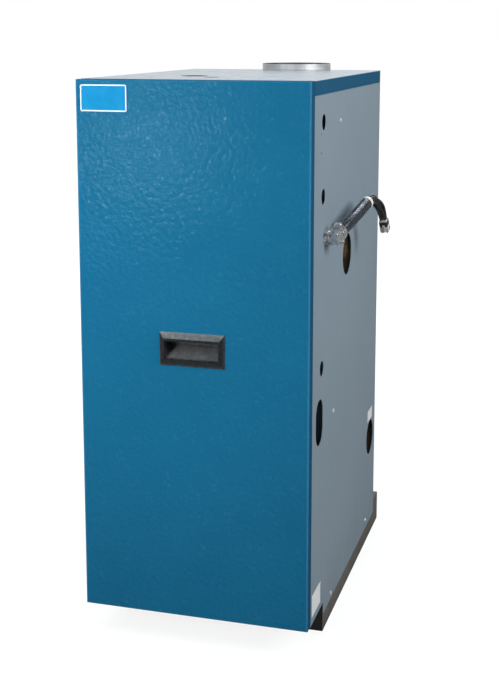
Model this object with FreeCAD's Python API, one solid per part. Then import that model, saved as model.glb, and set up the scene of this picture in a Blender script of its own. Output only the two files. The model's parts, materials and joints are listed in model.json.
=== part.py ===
import FreeCAD, Part
import math
import os

# A gas-fired cast-iron hot-water boiler in a sheet-metal jacket. Sizes are in millimetres.
# Depths are measured back from the door's face, heights up from the floor, and x from the middle.

# How far a cutting shape runs past what it cuts, and how near two places count as one
OVERCUT = 1.0
NEAR = 0.01

# Jacket
JACKET_W = 418.0
JACKET_D = 641.0
JACKET_H = 1022.0
SHEET = 1.0
TOP_FLANGE = 25.0
TOP_FLANGE_SETBACK = 8.0
TOP_BEND_R = 1.6
FRONT_LIP = 22.0
REAR_LIP = 18.0
NOTCH_Z = 58.0
PANEL_BOTTOM_Z = 35.0

# Base
RAIL_H = 62.0
RAIL_T = 1.5
RAIL_FLANGE = 40.0
RAIL_FRONT = 131.0
RAIL_OVERHANG = 56.0
MEMBER_FLANGE = 25.0
PAN_T = 2.0

# Door
DOOR_BOTTOM_Z = 62.0
DOOR_TOP_DROP = 0.5
DOOR_FLANGE = 25.0
DOOR_BEND_R = 2.5
DOOR_GAP = 0.8
BADGE_W = 86.0
BADGE_H = 47.0
BADGE_T = 1.2
BADGE_SIDE_MARGIN = 9.0
BADGE_TOP_MARGIN = 8.0

# Flush handle
HANDLE_W = 119.0
HANDLE_H = 60.0
HANDLE_PROUD = 7.0
HANDLE_EDGE = 1.5
HANDLE_SLOPE_W = 10.5
HANDLE_SIDE_W = 8.0
HANDLE_RISE = 15.0
POCKET_W = 98.0
POCKET_H = 36.0
POCKET_DEPTH = 26.0
POCKET_WALL = 2.0
FINGER_LIP = 8.0
FINGER_RISE = 3.0
POCKET_FLOOR_RISE = 21.0
HANDLE_PLAY = 0.5

# Front crossbars, magnets and locating pins
BAR_H = 45.0
BAR_T = 1.2
BAR_FLANGE = 25.0
LOWER_BAR_Z = 70.0
MAGNET_X = 120.0
MAGNET_W = 44.0
MAGNET_H = 18.0
MAGNET_T = 6.0
CATCH_GAP = 0.3
PIN_X = 150.0
PIN_R = 4.0
PIN_TIP = 7.0
PIN_COLLAR_R = 8.0
PIN_COLLAR_T = 3.0
PIN_PLAY = 0.3
BRACKET_W = 40.0
BRACKET_H = 26.0
BRACKET_T = 1.5
PIN_BRACKET_D = 16.0

# Vestibule panel, burner opening and insulation
VESTIBULE_D = 135.0
INSULATION_T = 18.0
ACCESS_W = 300.0
ACCESS_Z0 = 120.0
ACCESS_H = 95.0
ACCESS_OVERLAP = 14.0
ACCESS_T = 1.2

# Cast-iron sections
SECTION_COUNT = 4
SECTION_GAP = 4.0
SECTION_WALL = 7.0
SECTION_FRONT = 165.0
SECTION_TOP_DROP = 282.0
CROWN_Z = 335.0
REAR_LEG = 76.0
REAR_GAP = 1.0
FRONT_LEG_W = 40.0
FRONT_LEG_D = 50.0
PORT_R = 26.0
NIPPLE_WALL = 4.0
NIPPLE_PLAY = 0.1
BOSS_R = 33.0
BOSS_L = 15.0
TAPPING_R = 20.0
SUPPLY_D = 312.0
SUPPLY_DROP = 57.0
RETURN_FROM_REAR = 57.0
RETURN_Z = 230.0
EAR_D = 24.0
EAR_H = 36.0
EAR_T = 20.0
ROD_R = 5.0
ROD_PLAY = 0.4
ROD_TAIL = 12.0
NUT_R = 9.5
NUT_T = 8.0
UPPER_ROD_DROP = 140.0
LOWER_ROD_Z = 110.0

# Side panel holes
SUPPLY_HOLE_R = 40.0
RETURN_HOLE_R = 38.0
GAS_HOLE_W = 54.0
GAS_HOLE_H = 84.0
KNOCKOUT_D = 99.0
KNOCKOUT_R = 14.0
KNOCKOUT_DROPS = (73.0, 202.0)
LOW_KNOCKOUT_RISE = 95.0
PILOT_HOLE_D = 80.0
PILOT_HOLE_R = 2.2
PILOT_HOLE_DROPS = (92.0, 125.0)

# Top panel holes
RELIEF_X = -61.0
RELIEF_D = 203.0
RELIEF_R = 22.5
SMALL_HOLE_X = -9.0
SMALL_HOLE_D = 146.0
SMALL_HOLE_R = 11.0
SLOT_X = -114.0
SLOT_W = 18.0
SLOT_D = 5.0
SLOT_REAR_MARGIN = 10.0

# Jacket screws
SCREW_HEAD_R = 4.2
SCREW_HEAD_T = 2.2
SCREW_DOME_R = 1.3
SCREW_R = 1.9
UPPER_SCREW_D = 234.0
UPPER_SCREW_DROP = 79.0
LOWER_SCREWS = ((200.0, 405.0), (540.0, 56.0), (192.0, 48.0))
REAR_SCREW_COUNT = 4
REAR_SCREW_MARGIN = 45.0
HOOD_SCREW_COUNT = 3
HOOD_SCREW_MARGIN = 34.0

# Flue collector, draft hood and collar
COLLECTOR_W = 300.0
COLLECTOR_H = 170.0
COLLECTOR_T = 1.2
COLLECTOR_INSET = 12.0
FLUE_GAP = 0.5
HOOD_W = 330.0
HOOD_T = 0.9
HOOD_D = 200.0
HOOD_H = 398.0
HOOD_TOP_DROP = 14.0
HOOD_FLANGE = 15.0
COLLAR_R = 76.2
COLLAR_T = 0.9
COLLAR_RISE = 25.0
COLLAR_FLANGE = 9.0
BAFFLE_T = 0.9
BAFFLE_FRONT = 60.0
BAFFLE_REAR = 150.0
BAFFLE_HIGH_RISE = 160.0
BAFFLE_LOW_RISE = 105.0

# Manual-reset switches
SWITCH_R = 11.0
SWITCH_L = 13.0
SWITCH_PLATE_W = 34.0
SWITCH_PLATE_T = 1.2
BUTTON_R = 3.0
BUTTON_PLAY = 0.25
BUTTON_PROUD = 5.0
BUTTON_TRAVEL = 2.5
BUTTON_DEPTH = 4.0
SPILL_RISE = 40.0
ROLLOUT_X = 152.0

# Burners and gas train
BURNER_R = 20.0
BURNER_WALL = 1.2
BURNER_FROM_REAR = 136.0
BURNER_Z = 165.0
BURNER_PLAY = 0.3
FLARE_R = 23.0
FLARE_L = 12.0
PORT_SLOT_W = 2.5
PORT_SLOT_FIRST = 190.0
PORT_SLOT_PITCH = 12.0
PORT_SLOT_DEPTH = 5.0
PORT_SLOT_MARGIN = 27.0
REST_T = 4.0
REST_SETBACK = 14.0
GAS_D = 84.5
GAS_Z = 418.0
MANIFOLD_R = 13.5
MANIFOLD_BORE_R = 10.0
MANIFOLD_HALF = 128.0
MANIFOLD_PAD_R = 9.0
MANIFOLD_PAD_L = 17.0
MANIFOLD_LEG_W = 10.0
MANIFOLD_LEG_H = 16.0
ORIFICE_R = 5.0
ORIFICE_STEM = 5.0
ORIFICE_HEAD_R = 8.0
ORIFICE_HEAD_L = 10.0
ORIFICE_PLAY = 0.1
MIXER_GAP = 3.0
VALVE_W = 90.0
VALVE_X = 10.0
VALVE_D = 60.0
VALVE_H = 66.0
VALVE_EDGE_R = 4.0
VALVE_BOSS_R = 17.0
VALVE_BOSS_L = 15.0
GAS_THREAD_R = 10.4
GAS_THREAD_L = 30.0
KNOB_R = 16.0
KNOB_H = 14.0
KNOB_GAP = 0.3
GRIP_W = 8.0
GRIP_L = 28.0
GRIP_H = 8.0
STEM_R = 4.0
STEM_L = 8.0
STEM_PLAY = 0.05
PILOT_Z = 196.0
PILOT_R = 5.0
PILOT_FRONT = 121.0
PILOT_REAR = 195.0
PILOT_PLAY = 0.2
PILOT_TUBE_R = 3.0
PILOT_TUBE_X = 36.0
PILOT_TUBE_BEND = 18.0
PILOT_TUBE_JOG = 36.0

# Controls in the vestibule
CONTROL_INSET = 97.0
CONTROL_W = 110.0
CONTROL_DROP = 382.0
CONTROL_H = 120.0
CONTROL_D = 50.0
CONTROL_WALL = 1.5
COVER_T = 1.5
DIAL_R = 18.0
DIAL_T = 9.0
DIAL_GAP = 0.3
POINTER_W = 2.0
POINTER_L = 12.0
POINTER_DEPTH = 1.0
GAUGE_X = 25.0
GAUGE_DROP = 332.0
GAUGE_R = 32.0
GAUGE_D = 38.0
GAUGE_RIM = 2.5
GAUGE_RECESS = 8.0
LENS_T = 1.5
LENS_PLAY = 0.1
NEEDLE_T = 1.0
NEEDLE_W = 1.6
NEEDLE_TAIL_W = 4.4
NEEDLE_LIFT = 2.5
NEEDLE_TIP = 22.0
NEEDLE_TAIL = 9.0
NEEDLE_HUB_R = 4.0
POST_R = 1.5
POST_PLAY = 0.05
NEEDLE_REST_DEG = -135.0
JUNCTION_W = 100.0
JUNCTION_D = 50.0
JUNCTION_H = 100.0
JUNCTION_WALL = 1.2

# Conduit connector, flexible conduit, bushing, wires and plug
CONNECTOR_D = 116.0
CONNECTOR_DROP = 274.0
CONNECTOR_R = 11.0
CONNECTOR_PLAY = 0.2
CONNECTOR_TAIL = 11.0
SHOULDER_R = 15.5
SHOULDER_T = 8.0
ELBOW_OUT = 18.0
ELBOW_R = 12.5
OUTLET_L = 24.0
OUTLET_R = 13.0
OUTLET_DIRECTION = (0.24, 0.92, 0.30)
LOCKNUT_R = 16.0
LOCKNUT_T = 4.0
CONDUIT_R = 11.0
CONDUIT_ROOT_R = 9.9
CONDUIT_BORE_R = 8.0
CONDUIT_PITCH = 5.2
CONDUIT_LEAD = 36.0
RIB_SLOPE = 0.2
RIB_CREST = 0.4
ARC_SHARE = 0.45
BUSHING_R = 11.8
BUSHING_T = 4.0
WIRES_R = 7.5
WIRES_PLAY = 0.3
WIRES_LEAD = 20.0
PLUG_L = 28.0
PLUG_W = 17.0
PLUG_H = 20.0

# Routes after the straight leads: out from the side panel, back from and above the connector
CONDUIT_ROUTE = (
    (37.0, 112.0, 27.5),
    (41.0, 174.0, 38.0),
)
WIRES_ROUTE = (
    (46.0, 215.0, 38.5),
    (51.0, 234.0, 29.0),
    (56.0, 248.0, 14.0),
    (58.5, 255.0, -4.0),
)

# Worked out from the sizes above: the jacket
V = FreeCAD.Vector
HALF_W = JACKET_W / 2
PANEL_X = HALF_W - SHEET
INNER_X = PANEL_X - SHEET
TOP_IN_Z = JACKET_H - SHEET
DOOR_TOP_Z = JACKET_H - DOOR_TOP_DROP
HANDLE_Z = (DOOR_BOTTOM_Z + DOOR_TOP_Z) / 2 + HANDLE_RISE
FRONT_D = DOOR_FLANGE + DOOR_GAP
BAR_D = FRONT_D + SHEET
VESTIBULE_BACK = VESTIBULE_D + SHEET
REAR_IN = JACKET_D - 2 * SHEET
RAIL_REAR = JACKET_D + RAIL_OVERHANG
PAN_TOP_Z = RAIL_H + PAN_T
COLLAR_D = JACKET_D + HOOD_D / 2
CENTRE_D = (JACKET_D + HOOD_D - HANDLE_PROUD) / 2
INSULATION_X = INNER_X - INSULATION_T
INSULATION_TOP_Z = TOP_IN_Z - INSULATION_T
KNOCKOUT_ZS = [JACKET_H - drop for drop in KNOCKOUT_DROPS] + [GAS_Z + LOW_KNOCKOUT_RISE]
PILOT_HOLE_ZS = [JACKET_H - drop for drop in PILOT_HOLE_DROPS]
SCREW_PLACES = ((UPPER_SCREW_D, JACKET_H - UPPER_SCREW_DROP),) + LOWER_SCREWS
MAGNET_Z = TOP_IN_Z - BAR_H / 2
MAGNET_FACE = BAR_D - MAGNET_T
PIN_Z = LOWER_BAR_Z + BAR_H / 2

# Worked out: sections and flue
SECTION_REAR = REAR_IN - INSULATION_T - REAR_GAP
SECTION_TOP_Z = JACKET_H - SECTION_TOP_DROP
BLOCK_X = INSULATION_X - BOSS_L
SECTION_PITCH = (2 * BLOCK_X + SECTION_GAP) / SECTION_COUNT
SECTION_W = SECTION_PITCH - SECTION_GAP
SUPPLY_Z = SECTION_TOP_Z - SUPPLY_DROP
RETURN_D = JACKET_D - RETURN_FROM_REAR
UPPER_ROD_D = SECTION_FRONT - EAR_D / 2
UPPER_ROD_Z = SECTION_TOP_Z - UPPER_ROD_DROP
LOWER_ROD_D = SECTION_REAR - REAR_LEG - EAR_D / 2
COLLECTOR_TOP_Z = SECTION_TOP_Z + COLLECTOR_H
HOOD_TOP_Z = JACKET_H - HOOD_TOP_DROP
HOOD_BOTTOM_Z = HOOD_TOP_Z - HOOD_H
COLLAR_TOP_Z = HOOD_TOP_Z + COLLAR_RISE
BAFFLE_HIGH_Z = HOOD_BOTTOM_Z + BAFFLE_HIGH_RISE
BAFFLE_LOW_Z = HOOD_BOTTOM_Z + BAFFLE_LOW_RISE
SPILL_Z = HOOD_BOTTOM_Z + SPILL_RISE

REAR_SCREW_X = INNER_X - REAR_LIP / 2
HOOD_SCREW_X = HOOD_W / 2 + HOOD_FLANGE / 2

# Worked out: burners, gas train and controls
BURNER_XS = [(i - (SECTION_COUNT - 2) / 2) * SECTION_PITCH for i in range(SECTION_COUNT - 1)]
BURNER_FRONT = GAS_D + MANIFOLD_PAD_L + ORIFICE_HEAD_L + MIXER_GAP
BURNER_END = JACKET_D - BURNER_FROM_REAR
SLOT_COUNT = int((BURNER_END - PORT_SLOT_MARGIN - PORT_SLOT_FIRST) / PORT_SLOT_PITCH)
PILOT_X = SECTION_PITCH / 2
ACCESS_TOP_Z = ACCESS_Z0 + ACCESS_H
VALVE_BOTTOM_Z = GAS_Z - VALVE_H / 2
VALVE_TOP_Z = GAS_Z + VALVE_H / 2
VALVE_RIGHT = VALVE_X + VALVE_W / 2
CONTROL_X = CONTROL_INSET - INNER_X
CONTROL_Z = JACKET_H - CONTROL_DROP
CONTROL_FRONT = VESTIBULE_D - CONTROL_D
COVER_FRONT = CONTROL_FRONT - COVER_T
GAUGE_Z = JACKET_H - GAUGE_DROP
GAUGE_FRONT = VESTIBULE_D - GAUGE_D
NEEDLE_D = GAUGE_FRONT + GAUGE_RECESS - NEEDLE_LIFT - NEEDLE_T
CONNECTOR_Z = JACKET_H - CONNECTOR_DROP
JUNCTION_Z = CONNECTOR_Z - JUNCTION_H / 2
JUNCTION_FRONT = VESTIBULE_D - JUNCTION_D


def point(x, depth, z):
    return V(x, depth - CENTRE_D, z)


def block(x, depth, z):
    return Part.makeBox(x[1] - x[0], depth[1] - depth[0], z[1] - z[0], point(x[0], depth[0], z[0]))


def rod_x(x, depth, z, radius):
    return Part.makeCylinder(radius, x[1] - x[0], point(x[0], depth, z), V(1, 0, 0))


def rod_y(x, depth, z, radius):
    return Part.makeCylinder(radius, depth[1] - depth[0], point(x, depth[0], z), V(0, 1, 0))


def rod_z(x, depth, z, radius):
    return Part.makeCylinder(radius, z[1] - z[0], point(x, depth, z[0]), V(0, 0, 1))


def prism_x(outline, x):
    """A solid along x from an outline of (depth, height) points."""
    corners = [point(x[0], depth, z) for depth, z in outline]
    face = Part.Face(Part.makePolygon(corners + corners[:1]))
    return face.extrude(V(x[1] - x[0], 0, 0))


def hexagon_x(x, depth, z, radius):
    turns = [math.radians(60 * i) for i in range(6)]
    return prism_x([(depth + radius * math.cos(a), z + radius * math.sin(a)) for a in turns], x)


def bar_along(start, heading, across, sizes):
    """A straight bar from start, by its width, its height along across, and its length."""
    width, height, length = sizes
    along = heading.cross(across)
    corner = start - along * (width / 2) - across * (height / 2)
    right = along * width
    up = across * height
    outline = [corner, corner + right, corner + right + up, corner + up, corner]
    return Part.Face(Part.makePolygon(outline)).extrude(heading * length)


def joined(*solids):
    whole = solids[0].fuse(list(solids[1:]))
    return whole.removeSplitter()


def group(solids):
    return Part.makeCompound(solids)


def mirrored(shape):
    return shape.mirror(V(0, 0, 0), V(1, 0, 0))


def mirror_pair(shape):
    return group([shape, mirrored(shape)])


def grown(span, margin):
    return (span[0] - margin, span[1] + margin)


def both(half):
    return (-half, half)


# Base frame

def base_rail():
    depth = (RAIL_FRONT, RAIL_REAR)
    web = block((INNER_X - RAIL_T, INNER_X), depth, (0, RAIL_H))
    foot = block((INNER_X - RAIL_FLANGE, INNER_X), depth, (0, RAIL_T))
    ledge = block((INNER_X - RAIL_FLANGE, INNER_X), depth, (RAIL_H - RAIL_T, RAIL_H))
    return joined(web, foot, ledge)


def base_member(face, flange):
    """A cross plate between the rails, with a foot between their lower flanges."""
    plate = block(both(INNER_X - RAIL_T), face, (RAIL_T, RAIL_H - RAIL_T))
    foot = block(both(INNER_X - RAIL_FLANGE), flange, (0, RAIL_T))
    return joined(plate, foot)


def front_base_member():
    face = (RAIL_FRONT, RAIL_FRONT + RAIL_T)
    return base_member(face, (RAIL_FRONT, RAIL_FRONT + MEMBER_FLANGE))


def rear_base_member():
    face = (RAIL_REAR - RAIL_T, RAIL_REAR)
    return base_member(face, (RAIL_REAR - MEMBER_FLANGE, RAIL_REAR))


def base_pan():
    plate = block(both(INNER_X), (VESTIBULE_BACK, REAR_IN), (RAIL_H, PAN_TOP_Z))
    rest_top = BURNER_Z - BURNER_R - BURNER_PLAY
    rest_d = BURNER_END - REST_SETBACK
    rest_x = BURNER_XS[-1] + BURNER_R
    rest = block(both(rest_x), (rest_d, rest_d + REST_T), (RAIL_H, rest_top))
    return joined(plate, rest)


# Jacket

def plain_side_panel():
    sheet = block((INNER_X, PANEL_X), (FRONT_D, JACKET_D), (PANEL_BOTTOM_Z, TOP_IN_Z))
    notch_d = (FRONT_D - OVERCUT, RAIL_FRONT)
    notch = block(grown((INNER_X, PANEL_X), OVERCUT), notch_d, (PANEL_BOTTOM_Z - OVERCUT, NOTCH_Z))
    front = block((PANEL_X - FRONT_LIP, PANEL_X), (FRONT_D, FRONT_D + SHEET), (NOTCH_Z, TOP_IN_Z))
    rear = block((INNER_X - REAR_LIP, PANEL_X), (REAR_IN, REAR_IN + SHEET), (RAIL_H, TOP_IN_Z))
    rear_holes = [rod_y(REAR_SCREW_X, (REAR_IN, JACKET_D), z, SCREW_R) for z in rear_screw_zs()]
    return joined(sheet.cut(notch), front, rear).cut(rear_holes)


def gas_hole(x):
    """An upright slot with round ends."""
    radius = GAS_HOLE_W / 2
    reach = GAS_HOLE_H / 2 - radius
    ends = [rod_x(x, GAS_D, GAS_Z + side * reach, radius) for side in (-1, 1)]
    waist = block(x, (GAS_D - radius, GAS_D + radius), (GAS_Z - reach, GAS_Z + reach))
    return joined(waist, *ends)


def right_side_panel():
    x = grown((INNER_X, PANEL_X), OVERCUT)
    cuts = [
        rod_x(x, SUPPLY_D, SUPPLY_Z, SUPPLY_HOLE_R),
        rod_x(x, RETURN_D, RETURN_Z, RETURN_HOLE_R),
        rod_x(x, CONNECTOR_D, CONNECTOR_Z, CONNECTOR_R + CONNECTOR_PLAY),
        gas_hole(x),
    ]
    cuts += [rod_x(x, KNOCKOUT_D, z, KNOCKOUT_R) for z in KNOCKOUT_ZS]
    cuts += [rod_x(x, PILOT_HOLE_D, z, PILOT_HOLE_R) for z in PILOT_HOLE_ZS]
    cuts += [rod_x(x, depth, z, SCREW_R) for depth, z in SCREW_PLACES]
    return plain_side_panel().cut(cuts)


def left_side_panel():
    x = grown((INNER_X, PANEL_X), OVERCUT)
    cuts = [rod_x(x, depth, z, SCREW_R) for depth, z in SCREW_PLACES]
    return mirrored(plain_side_panel().cut(cuts))


def spaced(span, margin, count):
    """Even places along a span, with a margin at each end."""
    low, high = grown(span, -margin)
    return [low + (high - low) * index / (count - 1) for index in range(count)]


def rear_screw_zs():
    return spaced((RAIL_H, TOP_IN_Z), REAR_SCREW_MARGIN, REAR_SCREW_COUNT)


def hood_screw_zs():
    return spaced((HOOD_BOTTOM_Z, HOOD_TOP_Z), HOOD_SCREW_MARGIN, HOOD_SCREW_COUNT)


def sheet_screw(seat, outward, grip):
    """A screw with a domed head on a sheet; grip is what its shank goes through."""
    head = Part.makeCylinder(SCREW_HEAD_R, SCREW_HEAD_T, seat, outward)
    dome = head.makeFillet(SCREW_DOME_R, [head.Edges[0]])
    shank = Part.makeCylinder(SCREW_R, grip, seat - outward * grip, outward)
    return joined(dome, shank)


def jacket_screws():
    side = V(1, 0, 0)
    rear = V(0, 1, 0)
    hood_face = JACKET_D + HOOD_T
    screws = [sheet_screw(point(PANEL_X, depth, z), side, SHEET) for depth, z in SCREW_PLACES]
    screws += [sheet_screw(point(REAR_SCREW_X, JACKET_D, z), rear, 2 * SHEET) for z in rear_screw_zs()]
    screws += [sheet_screw(point(HOOD_SCREW_X, hood_face, z), rear, HOOD_T + SHEET) for z in hood_screw_zs()]
    return group(screws + [mirrored(screw) for screw in screws])


def flue_opening(depth):
    """The way out for flue gas, with room round the collector."""
    x = grown(both(COLLECTOR_W / 2), FLUE_GAP)
    return block(x, depth, grown((SECTION_TOP_Z, COLLECTOR_TOP_Z), FLUE_GAP))


def rear_panel():
    sheet = block(both(INNER_X), (REAR_IN + SHEET, JACKET_D), (RAIL_H, TOP_IN_Z))
    through = grown((REAR_IN, JACKET_D), OVERCUT)
    holes = [rod_y(REAR_SCREW_X, through, z, SCREW_R) for z in rear_screw_zs()]
    holes += [rod_y(HOOD_SCREW_X, through, z, SCREW_R) for z in hood_screw_zs()]
    return sheet.cut([flue_opening(through)] + holes + [mirrored(hole) for hole in holes])


def top_holes(z):
    relief = rod_z(RELIEF_X, RELIEF_D, z, RELIEF_R)
    small = rod_z(SMALL_HOLE_X, SMALL_HOLE_D, z, SMALL_HOLE_R)
    return [relief, small]


def top_panel():
    outer = block(both(HALF_W), (FRONT_D, JACKET_D), (JACKET_H - TOP_FLANGE, JACKET_H))
    bends = [edge for edge in outer.Edges if runs_back_along_top(edge)]
    outer = outer.makeFillet(TOP_BEND_R, bends)
    below = (JACKET_H - TOP_FLANGE - OVERCUT, TOP_IN_Z)
    inside = block(both(PANEL_X), grown((FRONT_D, JACKET_D), OVERCUT), below)
    setback_d = (JACKET_D - TOP_FLANGE_SETBACK, JACKET_D + OVERCUT)
    setback = block(both(HALF_W + OVERCUT), setback_d, below)
    through = grown((TOP_IN_Z, JACKET_H), OVERCUT)
    slot_d = JACKET_D - SLOT_REAR_MARGIN
    slot = block((SLOT_X - SLOT_W / 2, SLOT_X + SLOT_W / 2), (slot_d - SLOT_D, slot_d), through)
    return outer.cut([inside, setback, slot] + top_holes(through))


def runs_back_along_top(edge):
    box = edge.BoundBox
    return box.YLength > JACKET_D / 2 and box.ZMin > JACKET_H - SHEET


def vestibule_panel():
    sheet = block(both(INNER_X), (VESTIBULE_D, VESTIBULE_BACK), (RAIL_H, TOP_IN_Z))
    through = grown((VESTIBULE_D, VESTIBULE_BACK), OVERCUT)
    opening = block(both(ACCESS_W / 2), through, (ACCESS_Z0, ACCESS_TOP_Z))
    return sheet.cut(opening)


def crossbar(bottom_z):
    z = (bottom_z, bottom_z + BAR_H)
    web = block(both(INNER_X), (BAR_D, BAR_D + BAR_T), z)
    upper = block(both(INNER_X), (BAR_D, BAR_D + BAR_FLANGE), (z[1] - BAR_T, z[1]))
    lower = block(both(INNER_X), (BAR_D, BAR_D + BAR_FLANGE), (z[0], z[0] + BAR_T))
    return joined(web, upper, lower)


def door_magnets():
    x = (MAGNET_X - MAGNET_W / 2, MAGNET_X + MAGNET_W / 2)
    z = (MAGNET_Z - MAGNET_H / 2, MAGNET_Z + MAGNET_H / 2)
    return mirror_pair(block(x, (MAGNET_FACE, BAR_D), z))


def door_pins():
    shank = rod_y(PIN_X, (PIN_TIP, BAR_D), PIN_Z, PIN_R)
    collar = rod_y(PIN_X, (BAR_D - PIN_COLLAR_T, BAR_D), PIN_Z, PIN_COLLAR_R)
    return mirror_pair(joined(shank, collar))


# Door

def front_edges(solid):
    """The edges of a block's front face."""
    front = solid.BoundBox.YMin + NEAR
    return [edge for edge in solid.Edges if edge.BoundBox.YMax < front]


def rounded_tray(x, depth, z, radius):
    """A block whose four front edges are bent round."""
    solid = block(x, depth, z)
    return solid.makeFillet(radius, front_edges(solid))


def front_door():
    z = (DOOR_BOTTOM_Z, DOOR_TOP_Z)
    outer = rounded_tray(both(HALF_W), (0, DOOR_FLANGE), z, DOOR_BEND_R)
    hollow = (SHEET, DOOR_FLANGE + OVERCUT)
    inner = rounded_tray(both(HALF_W - SHEET), hollow, grown(z, -SHEET), DOOR_BEND_R - SHEET)
    margin = POCKET_WALL + HANDLE_PLAY
    window_z = (HANDLE_Z - POCKET_H / 2 - margin, HANDLE_Z + POCKET_H / 2 + margin)
    window = block(both(POCKET_W / 2 + margin), grown((0, SHEET), OVERCUT), window_z)
    return outer.cut([inner, window])


def rectangle(x, depth, z):
    """An upright outline that faces the front."""
    places = ((x[0], z[0]), (x[1], z[0]), (x[1], z[1]), (x[0], z[1]))
    corners = [point(side, depth, height) for side, height in places]
    return Part.makePolygon(corners + corners[:1])


def handle_bezel():
    """A frame whose four faces slope up from the door to the pocket's rim."""
    x = both(HANDLE_W / 2)
    z = (HANDLE_Z - HANDLE_H / 2, HANDLE_Z + HANDLE_H / 2)
    foot = rectangle(x, -HANDLE_EDGE, z)
    rim = rectangle(grown(x, -HANDLE_SIDE_W), -HANDLE_PROUD, grown(z, -HANDLE_SLOPE_W))
    return joined(block(x, (-HANDLE_EDGE, 0), z), Part.makeLoft([foot, rim], True, True))


def door_handle():
    low = HANDLE_Z - POCKET_H / 2
    high = HANDLE_Z + POCKET_H / 2
    floor_z = low + POCKET_FLOOR_RISE
    wall = POCKET_WALL
    cavity = prism_x([
        (-HANDLE_PROUD - OVERCUT, low),
        (-HANDLE_PROUD / 2, low),
        (POCKET_DEPTH, floor_z),
        (POCKET_DEPTH, high),
        (FINGER_LIP, high),
        (FINGER_LIP, high - FINGER_RISE),
        (-HANDLE_PROUD - OVERCUT, high - FINGER_RISE),
    ], both(POCKET_W / 2))
    cup = prism_x([
        (-HANDLE_PROUD / 2, low - wall),
        (wall / 2, low - wall),
        (POCKET_DEPTH + wall, floor_z - wall),
        (POCKET_DEPTH + wall, high + wall),
        (-HANDLE_PROUD / 2, high + wall),
    ], both(POCKET_W / 2 + wall))
    return joined(handle_bezel(), cup).cut(cavity)


def badge_plate():
    left = -HALF_W + BADGE_SIDE_MARGIN
    top = DOOR_TOP_Z - BADGE_TOP_MARGIN
    return block((left, left + BADGE_W), (-BADGE_T, 0), (top - BADGE_H, top))


def hat_bracket(x, z, reach):
    """A strip bent to a U, its two legs on the back of the door."""
    width = (x - BRACKET_W / 2, x + BRACKET_W / 2)
    height = (z - BRACKET_H / 2, z + BRACKET_H / 2)
    outer = block(width, (SHEET, reach), height)
    hollow = (SHEET - OVERCUT, reach - BRACKET_T)
    return outer.cut(block(grown(width, -BRACKET_T), hollow, grown(height, OVERCUT)))


def door_brackets():
    strike = hat_bracket(MAGNET_X, MAGNET_Z, MAGNET_FACE - CATCH_GAP)
    keeper = hat_bracket(PIN_X, PIN_Z, PIN_BRACKET_D)
    keeper = keeper.cut(rod_y(PIN_X, (0, PIN_BRACKET_D + OVERCUT), PIN_Z, PIN_R + PIN_PLAY))
    pieces = [strike, keeper]
    return group(pieces + [mirrored(piece) for piece in pieces])


# Heat exchanger

def section_left(index):
    return -BLOCK_X + index * SECTION_PITCH


def section_outline(inset):
    front = SECTION_FRONT + inset
    rear = SECTION_REAR - inset
    leg = SECTION_REAR - REAR_LEG + inset
    top = SECTION_TOP_Z - inset
    return [
        (front, CROWN_Z + inset),
        (front, top),
        (rear, top),
        (rear, PAN_TOP_Z + inset),
        (leg, PAN_TOP_Z + inset),
        (leg, CROWN_Z + inset),
    ]


def port_places():
    return ((SUPPLY_D, SUPPLY_Z), (RETURN_D, RETURN_Z))


def rod_places():
    return ((UPPER_ROD_D, UPPER_ROD_Z), (LOWER_ROD_D, LOWER_ROD_Z))


def plain_section(index, left_port, right_port):
    """A hollow casting with water ports through the walls that face its neighbours."""
    x = (section_left(index), section_left(index) + SECTION_W)
    water = (x[0] + SECTION_WALL, x[1] - SECTION_WALL)
    cuts = [prism_x(section_outline(SECTION_WALL), water)]
    middle = (x[0] + x[1]) / 2
    for depth, z in port_places():
        if left_port:
            cuts.append(rod_x((x[0] - OVERCUT, middle), depth, z, PORT_R))
        if right_port:
            cuts.append(rod_x((middle, x[1] + OVERCUT), depth, z, PORT_R))
    return prism_x(section_outline(0), x).cut(cuts)


def end_pieces(outer_x, inward):
    """A front leg and two tie-rod ears on an end section; inward is the sign of x towards the middle."""
    leg_x = sorted((outer_x, outer_x + inward * FRONT_LEG_W))
    ear_x = sorted((outer_x, outer_x + inward * EAR_T))
    leg = block(leg_x, (SECTION_FRONT, SECTION_FRONT + FRONT_LEG_D), (PAN_TOP_Z, CROWN_Z))
    ears = []
    for depth, z in rod_places():
        span = (depth - EAR_D / 2, depth + EAR_D / 2)
        ear = block(ear_x, span, (z - EAR_H / 2, z + EAR_H / 2))
        ears.append(ear.cut(rod_x(grown(ear_x, OVERCUT), depth, z, ROD_R + ROD_PLAY)))
    return [leg] + ears


def left_end_section():
    return joined(plain_section(0, False, True), *end_pieces(-BLOCK_X, 1))


def middle_section(index):
    return plain_section(index, True, True)


def right_end_section():
    casting = joined(plain_section(SECTION_COUNT - 1, True, False), *end_pieces(BLOCK_X, -1))
    bosses = [rod_x((BLOCK_X, BLOCK_X + BOSS_L), depth, z, BOSS_R) for depth, z in port_places()]
    bore = grown((BLOCK_X - SECTION_WALL, BLOCK_X + BOSS_L), OVERCUT)
    tappings = [rod_x(bore, depth, z, TAPPING_R) for depth, z in port_places()]
    return joined(casting, *bosses).cut(tappings)


def push_nipples():
    nipples = []
    radius = PORT_R - NIPPLE_PLAY
    for index in range(SECTION_COUNT - 1):
        joint = section_left(index) + SECTION_W
        x = (joint - SECTION_WALL, joint + SECTION_GAP + SECTION_WALL)
        for depth, z in port_places():
            ring = rod_x(x, depth, z, radius)
            nipples.append(ring.cut(rod_x(grown(x, OVERCUT), depth, z, radius - NIPPLE_WALL)))
    return group(nipples)


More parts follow.
